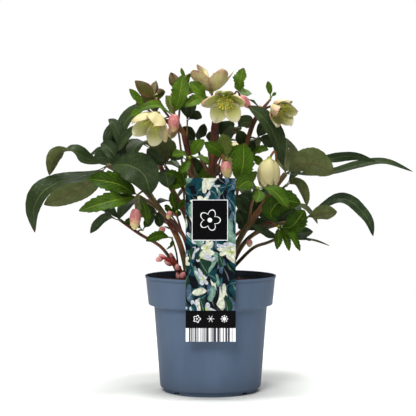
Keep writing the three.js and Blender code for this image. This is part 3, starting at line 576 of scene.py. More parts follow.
def pot_plastic():
    material, tree, shader = new_finish("pot_plastic", 0.5, Specular_IOR_Level=0.08)
    place = add_node(tree, "ShaderNodeTexCoord", out=3)
    x, y, z = split(place)
    wiped = add_node(tree, "ShaderNodeMapping", place, None, None, (1, 1, 0.35))
    clouds = speckle(tree, 26, 5, 0.6, wiped)
    slope = (LIP_RADIUS - BAND_FOOT_RADIUS) / (POT_HEIGHT - BAND_FOOT_HEIGHT)
    mid_wall = z * slope + (BAND_FOOT_RADIUS - POT_WALL - slope * BAND_FOOT_HEIGHT) * MM
    within = (maths("SQRT", x * x + y * y) < mid_wall) * (z > (BAND_FOOT_HEIGHT + 2) * MM)
    # painted shade and peat stain together: the inner wall above the soil is darkened to near black
    inner_wall_shade_and_stain = blend(mask(clouds, 0.35, 0.65), srgb(26, 24, 25), srgb(42, 41, 44))
    # painted shade: a thin dark band just under the lip, where the lip overhangs
    painted_lip_shadow = mask(z, *LIP_SHADE[:2]) * mask(z, *LIP_SHADE[:1:-1])
    # the colour turns darker and greyer towards the foot, over the lowest 30 mm
    colour = layered(srgb(76, 91, 112), (mask(clouds, 0.35, 0.7), srgb(83, 98, 120)),
                     (mask(z, DARKER_FOOT_HEIGHT, 0.0) * 0.35, srgb(68, 76, 86)), (within * 0.9, inner_wall_shade_and_stain),
                     (painted_lip_shadow * 0.4, srgb(44, 52, 64)))
    gloss = add_node(tree, "ShaderNodeMapRange", clouds, 0.3, 0.75, 0.44, 0.56)
    paint(shader, Base_Color=colour, Roughness=gloss)
    raise_bump(shader, speckle(tree, 2200, 2, 0.5), 0.12, 0.0002)
    return material


pot.data.materials.clear()
pot.data.materials.append(pot_plastic())
dress(pot, "pot", "pot")
print("pot dressed")

# %% [markdown]
# Peat is a heap of crumbs and fibres. The body of it is one turned solid whose top is raised by noise.
# On that top Geometry Nodes scatter what repeats: a few thousand crumbs of random size and turn, and
# short bent fibres. Scattering by a node tree keeps the amounts, sizes and the seed as named inputs.

# %% Soil: the body of peat
SOIL_RINGS = 34
SOIL_FACETS = 120
SOIL_CLEAR = POT_WALL + 0.5
SOIL_EDGE = band_radius(SOIL_TOP) - SOIL_CLEAR - 0.4
SOIL_FADE = 12


def soil_height(x, y):
    """Low humps and clods, fading out at the pot's wall."""
    def waves(size, seed):
        return noise.noise(Vector((x / size, y / size, seed)))
    edge = min(1, (SOIL_EDGE - math.hypot(x, y)) / SOIL_FADE)
    humps, clods = waves(17, 3.1) + 0.6 * waves(6, 8.3), abs(waves(2.6, 1.7))
    return SOIL_TOP - 0.8 + edge * (1.5 * humps + 1.3 * clods)


soil_outline = [(0, FLOOR_TOP + 0.3), (BODY_FOOT_RADIUS - SOIL_CLEAR - 2.5, FLOOR_TOP + 0.3),
                (body_radius(BAND_FOOT_HEIGHT) - SOIL_CLEAR - 0.3, BAND_FOOT_HEIGHT),
                (band_radius(BAND_FOOT_HEIGHT + 2) - SOIL_CLEAR - 0.6, BAND_FOOT_HEIGHT + 3)]
soil_outline += [(SOIL_EDGE * (1 - k / SOIL_RINGS), None) for k in range(SOIL_RINGS + 1)]
soil = turned("peat_soil", soil_outline, SOIL_FACETS, soil_height)
print("soil body:", len(soil.data.polygons), "faces")

# %% [markdown]
# Damp peat is dark red-brown, with paler dry crumbs on top and almost black hollows. The colour comes
# from two scales of noise. It has no gloss to speak of, but a coarse bump gives each crumb its shade.

# %% Soil: damp peat
def damp_peat():
    material, tree, shader = new_finish("damp_peat", 0.92, Specular_IOR_Level=0.2)
    crumbs, patches = speckle(tree, 420, 6, 0.7), speckle(tree, 60, 3, 0.5)
    paint(shader, Base_Color=layered(srgb(30, 16, 12), (mask(crumbs, 0.35, 0.65), srgb(74, 44, 33)),
                                     (mask(patches, 0.55, 0.75), srgb(96, 62, 46))))
    raise_bump(shader, crumbs, 0.7, 0.0012)
    return material


peat = damp_peat()
soil.data.materials.append(peat)
print("soil has its finish")

# %% [markdown]
# A small kit for node trees: a new tree with named inputs, shapes and random numbers that several
# trees use, and a function that fills a modifier's inputs by their identifiers, evaluates the object
# once and keeps the result as a plain mesh, so that nothing stays live.

# %% Helpers: Geometry Nodes
def new_tree(name, inputs):
    """A tree with the given (label, kind) inputs after its geometry, and its inputs by their label."""
    tree = bpy.data.node_groups.new(name, "GeometryNodeTree")
    for label, kind in (("Geometry", "Geometry"), *inputs):
        tree.interface.new_socket(label, in_out="INPUT", socket_type="NodeSocket" + kind)
    tree.interface.new_socket("Geometry", in_out="OUTPUT", socket_type="NodeSocketGeometry")
    return tree, {s.name: Value(tree, s) for s in tree.nodes.new("NodeGroupInput").outputs if s.name}


def joined(tree, *parts):
    node = tree.nodes.new("GeometryNodeJoinGeometry")
    for part in parts:
        feed(tree, node.inputs[0], part)
    return Value(tree, node.outputs[0])


def bent_rod(tree, start, start_handle, end_handle, end, sides, radius):
    """A thin bent rod with flat ends."""
    spine = add_node(tree, "GeometryNodeCurvePrimitiveBezierSegment", named={
        "Resolution": 5, "Start": start, "Start Handle": start_handle, "End Handle": end_handle, "End": end})
    section = add_node(tree, "GeometryNodeCurvePrimitiveCircle",
                       named={"Resolution": sides, "Radius": radius})
    return add_node(tree, "GeometryNodeCurveToMesh", spine, section, named={"Fill Caps": True})


def random_number(tree, low, high, seed):
    return add_node(tree, "FunctionNodeRandomValue", None, None, low, high, named={"Seed": seed},
                    out=1, data_type="FLOAT")


def copies(tree, points, shape, turn, scale):
    return add_node(tree, "GeometryNodeInstanceOnPoints", points, None, shape, None, None, turn, scale)


def give_out(tree, geometry, material):
    """Makes copies real, sets the material and wires the result to the tree's output."""
    real = add_node(tree, "GeometryNodeRealizeInstances", geometry)
    coloured = add_node(tree, "GeometryNodeSetMaterial", real, named={"Material": material})
    feed(tree, tree.nodes.new("NodeGroupOutput").inputs[0], coloured)
    return tree


def grow(piece, tree, values):
    """Runs a node tree on a piece with the given input values and keeps the result as its mesh."""
    modifier = piece.modifiers.new(tree.name, "NODES")
    modifier.node_group = tree
    identifiers = {item.name: item.identifier for item in tree.interface.items_tree if item.in_out == "INPUT"}
    for label, value in values.items():
        modifier[identifiers[label]] = value
    settle(piece)


print("node tree helpers are ready")

# %% [markdown]
# The crumbs are small rough balls set on the top of the peat only: a selection keeps faces that look
# up, so none grow through the pot's wall. The fibres are bent pieces of a thin tube laid flat by a
# random turn. Both are joined with the body and made real, because the export drops instances.

# %% Soil: crumbs and fibres
LEVEL = 0.6
ANY_WAY, LYING = (3.1, 3.1, 3.1), (0.35, 0.35, 3.1)


def crumb_tree():
    tree, given = new_tree("peat_crumbs", [
        ("Crumbs per Square Metre", "Float"), ("Crumb Size", "Float"), ("Fibres per Square Metre", "Float"),
        ("Fibre Length", "Float"), ("Seed", "Int"), ("Peat", "Material")])
    looks_up = split(add_node(tree, "GeometryNodeInputNormal"))[2] > LEVEL

    def scattered(shape, amount, shift, turns, low, high, size=1.0):
        seed = given["Seed"] + shift
        points = add_node(tree, "GeometryNodeDistributePointsOnFaces", given["Geometry"], looks_up,
                          named={"Density": given[amount], "Seed": seed})
        turn = add_node(tree, "FunctionNodeRandomValue", tuple(-value for value in turns), turns,
                        data_type="FLOAT_VECTOR")
        return copies(tree, points, shape, turn, random_number(tree, low, high, seed) * size)

    crumb = add_node(tree, "GeometryNodeMeshIcoSphere", given["Crumb Size"], 1)
    fibre = bent_rod(tree, (-0.5, 0, 0), (-0.2, 0.25, 0.1), (0.2, -0.2, 0.1), (0.5, 0.05, 0), 4, 0.035)
    crumbs = scattered(crumb, "Crumbs per Square Metre", 0, ANY_WAY, 0.35, 1.7)
    fibres = scattered(fibre, "Fibres per Square Metre", 1, LYING, 0.5, 1.5, given["Fibre Length"])
    return give_out(tree, joined(tree, fibres, crumbs, given["Geometry"]), given["Peat"])


grow(soil, crumb_tree(), {
    "Crumbs per Square Metre": 150000.0, "Crumb Size": 0.0012, "Fibres per Square Metre": 14000.0,
    "Fibre Length": 0.008, "Seed": 5, "Peat": peat})
dress(soil, "soil", "soil")
print("soil with crumbs:", len(soil.data.polygons), "faces")

# %% [markdown]
# The care label is a coated sheet that hangs over the pot's rim: a broad front, a tight fold at the top
# and a narrow tail that leans back into the soil. It is built as two thin strips that follow their
# side view. The free upper part bows forward by half a millimetre, as a hung sheet does.

# %% Label: folded sheet
LABEL_WIDTH = 62
LABEL_TOP = 278
LABEL_BOTTOM = 74
LABEL_HALF = 0.3
LABEL_BOW = 0.5
LABEL_STEP = 4
PANEL_Y = -(LIP_RADIUS + 0.7)
PANEL_TOP = LABEL_TOP - 6
TAIL_WIDTH, TAIL_MIDDLE, TAIL_FOOT = 26, (-80, 200), (-75, 124)


def strip(skin, path, width, columns, bow):
    """A sheet as wide as `width` along a side view of (y, z) points."""
    route = SmoothPath([Vector((0, y, z)) for y, z in path], 8)
    rows, steps = [], max(6, int(route.length / LABEL_STEP))
    for i in range(steps + 1):
        share = i / steps
        middle, tangent = route.at(share), route.tangent(share)
        normal = Vector((0, -tangent.z, tangent.y))
        hung = max(0, math.sin(math.pi * (middle.z - POT_HEIGHT) / (LABEL_TOP - POT_HEIGHT)))
        row = []
        for j in range(columns + 1):
            u = 2 * j / columns - 1
            place = middle + Vector((u * width / 2, -bow * (1 - u * u) * hung, 0))
            row.append((place, normal, LABEL_HALF, (u, share, 0)))
        rows.append(row)
    skin.sheet(rows)


label_skin = Skin()
fold = [(PANEL_Y, PANEL_TOP), (PANEL_Y + 0.3, LABEL_TOP - 1.2), (PANEL_Y + 1.2, LABEL_TOP - 0.4),
        (PANEL_Y + 2.1, LABEL_TOP - 1.2), (PANEL_Y + 2.6, PANEL_TOP)]
panel = [(PANEL_Y, LABEL_BOTTOM + k * (PANEL_TOP - LABEL_BOTTOM) / 5) for k in range(5)]
strip(label_skin, panel + fold, LABEL_WIDTH, 12, LABEL_BOW)
strip(label_skin, [fold[-1], TAIL_MIDDLE, TAIL_FOOT], TAIL_WIDTH, 4, 0)
print("label skin:", len(label_skin.faces), "faces")

# %% [markdown]
# The label is printed: a picture of leaves and pale flowers, a black square with a fine white frame, a
# black strip with three care signs and a white strip of bars. The print here is a pattern of its own,
# drawn with mathematics instead of a picture. Layers of lens-shaped leaves, one per cell of a turned
# grid, lie over each other, and five-petalled rosettes lie on top. No words are printed.

# %% Label: print, first the leaf and rosette patterns
def vector_maths(operation, first, *others):
    return add_node(first.tree, "ShaderNodeVectorMath", first, *others, operation=operation)


def inside(value, low, high):
    """1 where a value lies between two limits."""
    return (value > low) * (value < high)


def polar(across, up):
    """The distance and the bearing of a place from its centre."""
    return maths("SQRT", across * across + up * up), maths("ARCTAN2", up, across)


def print_cells(place, angle, cell, shift):
    """Splits the sheet into turned cells; gives across, up (both -0.5 to 0.5) and two random values."""
    spot = add_node(place.tree, "ShaderNodeMapping", place, (shift, shift * 0.6, 0), (0, 0, angle),
                    (1 / cell[0], 1 / cell[1], 1))
    whole = vector_maths("FLOOR", spot)
    across, up, _ = split(vector_maths("SUBTRACT", spot, whole))
    dice = add_node(place.tree, "ShaderNodeTexWhiteNoise", whole)
    colour = Value(place.tree, dice.socket.node.outputs["Color"])
    return across - 0.5, up - 0.5, dice, add_node(place.tree, "ShaderNodeSeparateColor", colour, out=1)


def print_leaves(place, below, palette, angle, cell, shift, amount):
    """One layer of printed leaves over the colour below."""
    across, up, dice, second = print_cells(place, angle, cell, shift)
    reach = abs(across) / maths("MAXIMUM", 1.0 - up * up * 4.0, 0.01)
    leaf = mask(reach, 0.42, 0.37) * (dice < amount)
    printed = add_node(place.tree, "ShaderNodeValToRGB", second)
    ramp = printed.socket.node.color_ramp
    ramp.interpolation = "CONSTANT"
    for k, colour in enumerate(palette):
        stop = ramp.elements[k] if k < 2 else ramp.elements.new(1)
        stop.position, stop.color = k / len(palette), colour
    ribbed = layered(printed, (mask(reach, 0.1, 0.45) * 0.45, srgb(14, 26, 32)),
                     (mask(reach, 0.05, 0.02) * 0.25, srgb(190, 210, 196)))
    return blend(leaf, below, ribbed)


def print_rosettes(place, below, petal, cell, shift, amount):
    """Five-petalled rosettes, one in some of the cells."""
    across, up, dice, second = print_cells(place, 0.3, (cell, cell), shift)
    radius, bearing = polar(across, up)
    lobes = abs(maths("COSINE", (bearing + second * 6.28) * 2.5))
    share = radius / (lobes * 0.24 + 0.22)
    bloom = mask(share, 1.0, 0.93) * (dice < amount)
    return blend(bloom, below, layered(petal, (mask(share, 0.35, 0.15), srgb(176, 190, 96)),
                                       (mask(lobes, 0.35, 0.0) * 0.55, srgb(120, 138, 128))))


print("print helpers are ready")

# %% [markdown]
# The signs in the strip are a rosette, a six-armed flake and a sun, each drawn in the polar
# coordinates of its own centre. The bars at the foot are one random number for each narrow stripe.
# Everything is measured in millimetres on the sheet, so the print keeps its place.

# %% Label: print, the whole layout
SQUARE_X, SQUARE_HALF, SQUARE_LOW, SQUARE_HIGH = -1, 22.3, 199.7, 250.2
STRIP_LOW, STRIP_HIGH = 90.9, 112.7
SIGN_HEIGHT, SIGN_STEP, SIGN_RADIUS = 102.4, 17, 4.4
FRAME_LINE = 0.75
BARS_PER_MM, BARS_MARGIN = 1.6, 4


def rosette(size, line):
    def draw(radius, angle):
        edge = abs(maths("COSINE", angle * 2.5)) * (0.45 * size) + 0.55 * size
        return maths("MAXIMUM", abs(radius - edge) < line, radius < 0.22 * size)
    return draw


def flake(radius, angle):
    return (radius * abs(maths("SINE", angle * 3.0)) < 0.8) * (radius < SIGN_RADIUS)


def sun(radius, angle):
    rays = (maths("COSINE", angle * 8.0) > 0.1) * inside(radius, 3.0, SIGN_RADIUS)
    return maths("MAXIMUM", rays, radius < 2.3)


def printed_picture(flat_place):
    """Leaves and rosettes over a dark ground, with every edge bent a little by drifting noise."""
    drift = add_node(flat_place.tree, "ShaderNodeTexNoise", flat_place, None, 0.04, 0.0, 0.5, out=1)
    drift = vector_maths("MULTIPLY", vector_maths("SUBTRACT", drift, (0.5, 0.5, 0.5)), (26, 26, 0))
    place = vector_maths("ADD", flat_place, drift)
    navy, teal, slate = srgb(7, 9, 20), srgb(12, 62, 70), srgb(76, 100, 122)
    mint, cream, moss = srgb(116, 152, 136), srgb(216, 219, 198), srgb(26, 60, 40)
    picture = print_leaves(place, navy, (teal, moss, slate, teal), 0.5, (10, 21), 3.3, 0.9)
    picture = print_leaves(place, picture, (slate, teal, mint, navy), -0.9, (11, 23), 7.1, 0.7)
    picture = print_leaves(place, picture, (mint, teal, cream, slate), 1.4, (9, 22), 1.9, 0.5)
    picture = print_rosettes(place, picture, srgb(194, 197, 205), 21, 9.2, 0.34)
    picture = print_leaves(place, picture, (teal, moss, navy, mint), 2.3, (11, 25), 5.3, 0.4)
    picture = print_rosettes(place, picture, cream, 27, 4.7, 0.54)
    wash = mask(speckle(place.tree, 0.22, 5.0, 0.7, flat_place), 0.35, 0.65)
    return blend(wash * 0.45, picture, srgb(6, 14, 22))


def printed_label():
    material, tree, shader = new_finish("printed_label", 0.4, Specular_IOR_Level=0.07)
    place = add_node(tree, "ShaderNodeTexCoord", out=3)
    x, _, z = split(vector_maths("MULTIPLY", place, (1000, 1000, 1000)))
    off_centre = abs(x - SQUARE_X)
    square = (off_centre < SQUARE_HALF) * inside(z, SQUARE_LOW, SQUARE_HIGH)
    inner = (off_centre < SQUARE_HALF - FRAME_LINE) * inside(
        z, SQUARE_LOW + FRAME_LINE, SQUARE_HIGH - FRAME_LINE)
    signs = None
    for across, up, draw in ((SQUARE_X, (SQUARE_LOW + SQUARE_HIGH) / 2, rosette(13, 0.55)),
                             (-SIGN_STEP, SIGN_HEIGHT, rosette(SIGN_RADIUS, 0.5)),
                             (0, SIGN_HEIGHT, flake), (SIGN_STEP, SIGN_HEIGHT, sun)):
        drawn = draw(*polar(x - across, z - up))
        signs = maths("MAXIMUM", signs, drawn) if signs else drawn
    dice = add_node(tree, "ShaderNodeTexWhiteNoise", named={"W": maths("FLOOR", x * BARS_PER_MM)},
                    noise_dimensions="1D")
    bars = (dice > 0.4) * (abs(x) < LABEL_WIDTH / 2 - BARS_MARGIN)
    side = add_node(tree, "ShaderNodeAttribute", attribute_name="side", out=2)
    ink, white = srgb(4, 4, 6), srgb(236, 237, 238)
    sheet = layered(printed_picture(add_node(tree, "ShaderNodeCombineXYZ", x, z, 0.0)),
                    (square, white), (inner, ink), (inside(z, STRIP_LOW, STRIP_HIGH), ink), (signs, white),
                    (z < STRIP_LOW, blend(bars, white, srgb(58, 60, 68))),
                    (mask(side, 0.4, 0.6), srgb(212, 216, 214)))
    paint(shader, Base_Color=sheet)
    raise_bump(shader, speckle(tree, 900, 2, 0.5), 0.05, 0.0002)
    return material


finishes["label"] = ("label", printed_label())
make_piece("care_label", label_skin, "label", "label")
print("label dressed")

# %% [markdown]
# The directions below name the way the upper side of a leaflet looks. Each leaf of the table is one
# hub with its leaflets, and each leaflet is a width, a direction and the points its midrib passes. A
# point is (across, depth, up) in the front elevation, so the table reads like a drawing of the plant.

# %% Leaves: directions and the table
UP = [0, -0.25, 1]
FRONT = [0, -1, 0.45]
FRONT_LEFT = [-0.6, -0.8, 0.5]
FRONT_RIGHT = [0.6, -0.8, 0.5]
UP_LEFT = [-0.6, -0.35, 0.8]
UP_FRONT = [0, -0.75, 0.75]
UP_RIGHT = [0.6, -0.35, 0.8]
RIGHT_FRONT = [0.6, -0.75, 0.35]
BACK = [0, 1, 0.45]
BACK_RIGHT = [0.5, 0.8, 0.5]

LEAVES = [
  ["leaf_left_arch", "old", [-133, -5, 292], [
    [25, FRONT_LEFT, [-160, -22, 301], [-181, -36, 311], [-200, -38, 304], [-209, -30, 279]],
    [36, FRONT_LEFT, [-164, -22, 277], [-194, -42, 271], [-218, -52, 257],
      [-229, -50, 234], [-228, -44, 205]],
    [34, BACK, [-158, 20, 268], [-189, 32, 252], [-216, 38, 241]],
    [44, FRONT, [-106, -34, 292], [-86, -48, 279], [-78, -52, 254]],
  ]],
  ["leaf_left_upright", "old", [-128, 14, 301], [
    [17, FRONT_LEFT, [-133, 16, 322], [-127, 20, 340], [-113, 22, 351]],
    [19, FRONT_LEFT, [-114, 0, 322], [-95, -6, 344]],
    [26, FRONT_LEFT, [-118, 24, 334], [-100, 32, 359], [-76, 32, 372]],
    [15, UP_LEFT, [-143, 30, 310], [-158, 44, 304]],
  ]],
  ["leaf_left_bract", "young", [-92, -22, 252], [
    [30, FRONT, [-121, -45, 268], [-159, -54, 275]],
    [25, FRONT, [-128, -58, 246], [-171, -70, 233]],
    [15, FRONT_RIGHT, [-86, -36, 238], [-82, -44, 216]],
  ]],
  ["leaf_left_low", "old", [-117, 8, 221], [
    [17, FRONT_LEFT, [-136, -2, 224], [-156, -10, 204]],
    [16, UP_LEFT, [-136, 34, 238], [-157, 50, 235]],
  ]],
  ["bract_top_left", "young", [-48, -22, 356], [
    [15, FRONT_LEFT, [-70, -42, 370], [-96, -53, 363]],
    [25, FRONT, [-40, -26, 382], [-36, -22, 409]],
    [17, BACK, [-52, 4, 372], [-58, 24, 382]],
  ]],
  ["bract_faded_flower", "young", [-82, -14, 365], [
    [11, FRONT_LEFT, [-93, -14, 378], [-105, -12, 391]],
    [13, FRONT, [-92, -6, 362], [-104, 4, 357]],
  ]],
  ["bract_top_middle", "young", [-3, -6, 379], [
    [19, FRONT, [-16, -12, 390], [-27, -10, 400]],
    [17, FRONT, [-18, -22, 377], [-33, -30, 368]],
    [14, BACK, [-8, 20, 377], [-9, 40, 383]],
  ]],
  ["bract_top_right", "young", [38, 0, 382], [
    [22, FRONT_LEFT, [38, -5, 399], [43, -4, 418]],
    [15, BACK_RIGHT, [46, 28, 386], [50, 50, 388]],
    [12, UP, [52, 8, 376], [62, 14, 368]],
  ]],
  ["leaf_middle_star", "young", [-27, -40, 302], [
    [17, FRONT_LEFT, [-38, -50, 307], [-50, -56, 304]],
    [17, FRONT_RIGHT, [-14, -56, 302], [-2, -64, 294]],
    [17, FRONT, [-18, -46, 316], [-8, -48, 325]],
    [12, FRONT, [-32, -52, 291], [-38, -60, 282]],
  ]],
  ["leaf_middle_bud", "young", [20, -44, 300], [
    [18, FRONT_LEFT, [7, -58, 313], [-8, -66, 322]],
    [21, BACK, [19, -38, 317], [15, -34, 333]],
    [14, FRONT_RIGHT, [31, -34, 310], [42, -30, 318]],
  ]],
  ["leaf_middle_tall", "young", [35, -62, 264], [
    [31, FRONT, [42, -74, 293], [43, -76, 321]],
    [15, FRONT_RIGHT, [46, -44, 272], [60, -34, 284]],
  ]],
  ["leaf_middle_shade", "old", [33, 20, 340], [
    [27, FRONT, [26, 20, 343], [13, 18, 330]],
    [19, FRONT_RIGHT, [44, 20, 348], [56, 20, 345]],
    [17, FRONT, [38, 18, 332], [43, 20, 318]],
    [18, BACK, [32, 46, 340], [30, 72, 332]],
  ]],
  ["leaf_middle_olive", "old", [-58, 18, 290], [
    [34, BACK, [-62, 12, 311], [-73, 12, 331]],
    [19, FRONT_LEFT, [-72, 4, 304], [-82, 0, 314]],
    [23, FRONT, [-57, 4, 278], [-55, -4, 263]],
  ]],
  ["leaf_middle_teal", "old", [-18, 34, 322], [
    [17, FRONT, [-27, 26, 332], [-36, 22, 342]],
    [17, FRONT_RIGHT, [-13, 26, 334], [-8, 24, 346]],
    [16, BACK, [-24, 60, 322], [-30, 86, 312]],
  ]],
  ["leaf_right_arch", "old", [97, -10, 281], [
    [31, FRONT_RIGHT, [90, -24, 308], [81, -32, 334], [67, -36, 355], [48, -34, 369]],
    [42, BACK, [114, -26, 293], [136, -38, 293], [160, -46, 282]],
    [13, UP_FRONT, [131, 12, 293], [158, 20, 301], [187, 22, 304], [214, 18, 297]],
    [13, UP_FRONT, [131, 34, 281], [160, 46, 284], [193, 50, 293], [226, 44, 297], [262, 34, 284]],
    [25, BACK, [98, 4, 298], [104, 9, 314]],
  ]],
  ["leaf_right_bright", "young", [61, -72, 263], [
    [24, FRONT, [48, -82, 271], [34, -94, 262]],
    [17, FRONT, [63, -82, 253], [59, -92, 244]],
    [24, FRONT_RIGHT, [80, -78, 260], [101, -86, 237]],
  ]],
  ["leaf_right_curled", "young", [88, -42, 213], [
    [33, FRONT, [78, -50, 230], [92, -58, 246], [117, -58, 243]],
    [29, FRONT_RIGHT, [105, -50, 213], [122, -54, 234]],
    [12, FRONT, [88, -62, 196], [86, -68, 183]],
    [10, FRONT, [98, -56, 198], [102, -64, 181]],
    [15, FRONT_RIGHT, [104, -60, 202], [116, -66, 181]],
  ]],
  ["leaf_right_shade", "old", [62, 12, 232], [
    [27, FRONT, [48, 6, 240], [33, 4, 252]],
    [22, FRONT, [50, 17, 220], [36, 14, 210]],
    [19, FRONT, [66, 6, 248], [72, 8, 262]],
  ]],
  ["leaf_right_olive", "old", [98, 26, 266], [
    [18, BACK_RIGHT, [109, 14, 271], [120, 8, 260], [125, 4, 240]],
    [14, UP_FRONT, [114, 34, 288], [134, 38, 308]],
  ]],
  ["leaf_right_far", "old", [124, 6, 224], [
    [22, BACK, [142, -4, 229], [164, -12, 232]],
    [17, RIGHT_FRONT, [148, 18, 241], [166, 18, 249], [182, 16, 245],
      [196, 12, 232], [206, 6, 218], [211, 0, 200]],
  ]],
  ["leaf_right_low", "old", [89, -4, 198], [
    [14, FRONT, [70, -32, 205], [52, -42, 216]],
    [18, FRONT_RIGHT, [112, -8, 203], [133, -12, 206]],
    [9, UP, [112, -22, 196], [131, -30, 195], [154, -32, 188]],
    [17, UP_RIGHT, [106, 34, 204], [130, 64, 194]],
  ]],
]

print(len(LEAVES), "leaves in the table,", sum(len(leaf[3]) for leaf in LEAVES), "leaflets")

# %% [markdown]
# The far side is seen only from behind, so its leaves need no steering by hand. They follow one rule:
# each hub sits at a bearing round the crown, and its leaflets fan out and arch down. A row is a name, a
# kind, the bearing in degrees, the distance from the axis, the height and the length of a leaflet.

# %% Leaves: the far side by rule
FAR_LEAVES = [
  ["leaf_far_1", "old", 44, 112, 228, 78],
  ["leaf_far_2", "old", 55, 92, 316, 84],
  ["leaf_far_3", "old", 84, 112, 257, 80],
  ["leaf_far_4", "old", 108, 112, 284, 84],
  ["leaf_far_5", "old", 132, 118, 234, 80],
  ["leaf_far_6", "old", 153, 86, 314, 74],
]
FAR_FAN = 92
FAR_SPREAD = [-FAR_FAN, -31, 31, FAR_FAN]
FAR_ARCH = ((0.34, 0.14), (0.68, 0.06), (0.94, -0.22))


def far_leaf(bearing, radius, height, length):
    """The hub and leaflets (width, face, points) of a leaf of the far side, in true positions."""
    turn = math.radians(bearing)
    hub = Vector((radius * math.cos(turn), radius * math.sin(turn), height))
    leaflets = []
    for k, spread in enumerate(FAR_SPREAD):
        aim = turn + math.radians(spread + 4 * math.sin(bearing + k))
        reach = length * (1 - 0.2 * abs(spread) / FAR_FAN)
        heading = Vector((math.cos(aim), math.sin(aim), 0))
        points = [hub + heading * share * reach + Vector((0, 0, rise * reach)) for share, rise in FAR_ARCH]
        leaflets.append((0.36 * length, (0.5 * heading.x, 0.5 * heading.y, 1), points))
    return hub, leaflets


def sighted(hub, leaflets):
    """The same for a leaf of a table."""
    return sight(hub), [(width, face, [sight(p) for p in points]) for width, face, *points in leaflets]


all_leaves = [(name, kind, *sighted(hub, leaflets)) for name, kind, hub, leaflets in LEAVES]
all_leaves += [(name, kind, *far_leaf(*placing)) for name, kind, *placing in FAR_LEAVES]
print(len(all_leaves), "leaves in all")

# %% [markdown]
# One leaflet is a lance-shaped blade folded a little along its midrib. Real blades are not smooth: the
# skin swells between the side veins, the edges ripple, and all but the foot has small forward teeth.
# These are simple waves along and across the blade, so they come from a formula, and the midrib is a
# ridge under the blade with a groove above it.

# %% Leaves: one leaflet
HUB = 2.8
STALK_SHARE = 0.07
STALK_HALF = 0.8
FOLD = 0.24
BLADE_HALF = 0.3
LEAF_STATIONS = 53
FACE_STATION = int(0.45 * LEAF_STATIONS)
LEAF_COLUMNS = (-1, -0.88, -0.66, -0.44, -0.22, -0.06, 0, 0.06, 0.22, 0.44, 0.66, 0.88, 1)
SIDE_VEINS = 9
VEIN_LEAN = 0.28
TEETH = {"old": 15, "young": 10}
TOOTH_DEPTH = {"old": 0.04, "young": 0.2}
RIPPLE = {"old": 0.045, "young": 0.075}
QUILT = {"old": 0.34, "young": 0.5}
OLD_HEIGHT, NEW_HEIGHT = 225, 385
TWIST_START, TWIST_SPAN = 0.35, 0.4


def lance(q):
    """Half width along the blade: broadest just past the middle, with a drawn-out tip."""
    return q * (1 - q) ** 0.8 / 0.289


def tooth_cut(s, kind):
    """How much the edge is cut back; teeth point to the tip and start after the first fifth."""
    return TOOTH_DEPTH[kind] * (1 - (s * TEETH[kind]) % 1) * clamp((s - 0.2) * 4)


def age_tone(height, dice):
    """From 0, old and dark, to 1, new and pale: a hellebore grows from the top."""
    return clamp((height - OLD_HEIGHT) / (NEW_HEIGHT - OLD_HEIGHT) + dice.uniform(-0.15, 0.25))


def add_leaflet(skin, hub, width, face, points, dice, kind, twist=0):
    foot = hub + (points[0] - hub).normalized() * 0.6 * HUB
    path = SmoothPath([foot, *points])
    shares = [i / (LEAF_STATIONS - 1) for i in range(LEAF_STATIONS)]
    tangents = [path.tangent(s) for s in shares]
    normals = [None] * LEAF_STATIONS
    normals[FACE_STATION] = squared(Vector(face), tangents[FACE_STATION])
    for i in range(FACE_STATION + 1, LEAF_STATIONS):
        normals[i] = squared(normals[i - 1], tangents[i])
    for i in range(FACE_STATION - 1, -1, -1):
        normals[i] = squared(normals[i + 1], tangents[i])
    number, ripples = age_tone(hub.z, dice), dice.uniform(1.6, 2.8)
    phases = (dice.random(), dice.random())
    rows = []
    for s, tangent, normal in zip(shares, tangents, normals):
        q = max(0, (s - STALK_SHARE) / (1 - STALK_SHARE))
        blade = width / 2 * lance(min(q, 0.999)) * (1 - tooth_cut(s, kind))
        half = max(STALK_HALF * (1 - s), blade, 0.15)
        late = clamp((s - TWIST_START) / TWIST_SPAN)
        if twist:
            normal = Matrix.Rotation(twist * late * late * (3 - 2 * late), 3, tangent) @ normal
        side = tangent.cross(normal)
        row = []
        for u in LEAF_COLUMNS:
            swell = abs(math.sin(math.pi * SIDE_VEINS * (s - VEIN_LEAN * abs(u)))) - 0.5
            wave = math.sin(2 * math.pi * (ripples * s + phases[u > 0]))
            rise = FOLD * half * abs(u) ** 1.3
            rise += QUILT[kind] * swell * abs(u) * (1 - abs(u)) * 3 * min(1, half / 8)
            rise += RIPPLE[kind] * width * u * u * wave * min(1, 4 * s) * (1 - s ** 3)
            rib = 0.55 * (1 - s) ** 0.8 if u == 0 else 0
            place = path.at(s) + side * (u * half) + normal * (rise - rib / 2 - (0.1 if u == 0 else 0))
            row.append((place, normal, BLADE_HALF * (1 - 0.4 * abs(u)) + rib / 2, (u, s, number)))
        rows.append(row)
    skin.sheet(rows)


print("a 40 mm wide blade is", round(40 * lance(0.556), 1), "mm wide at its broadest")
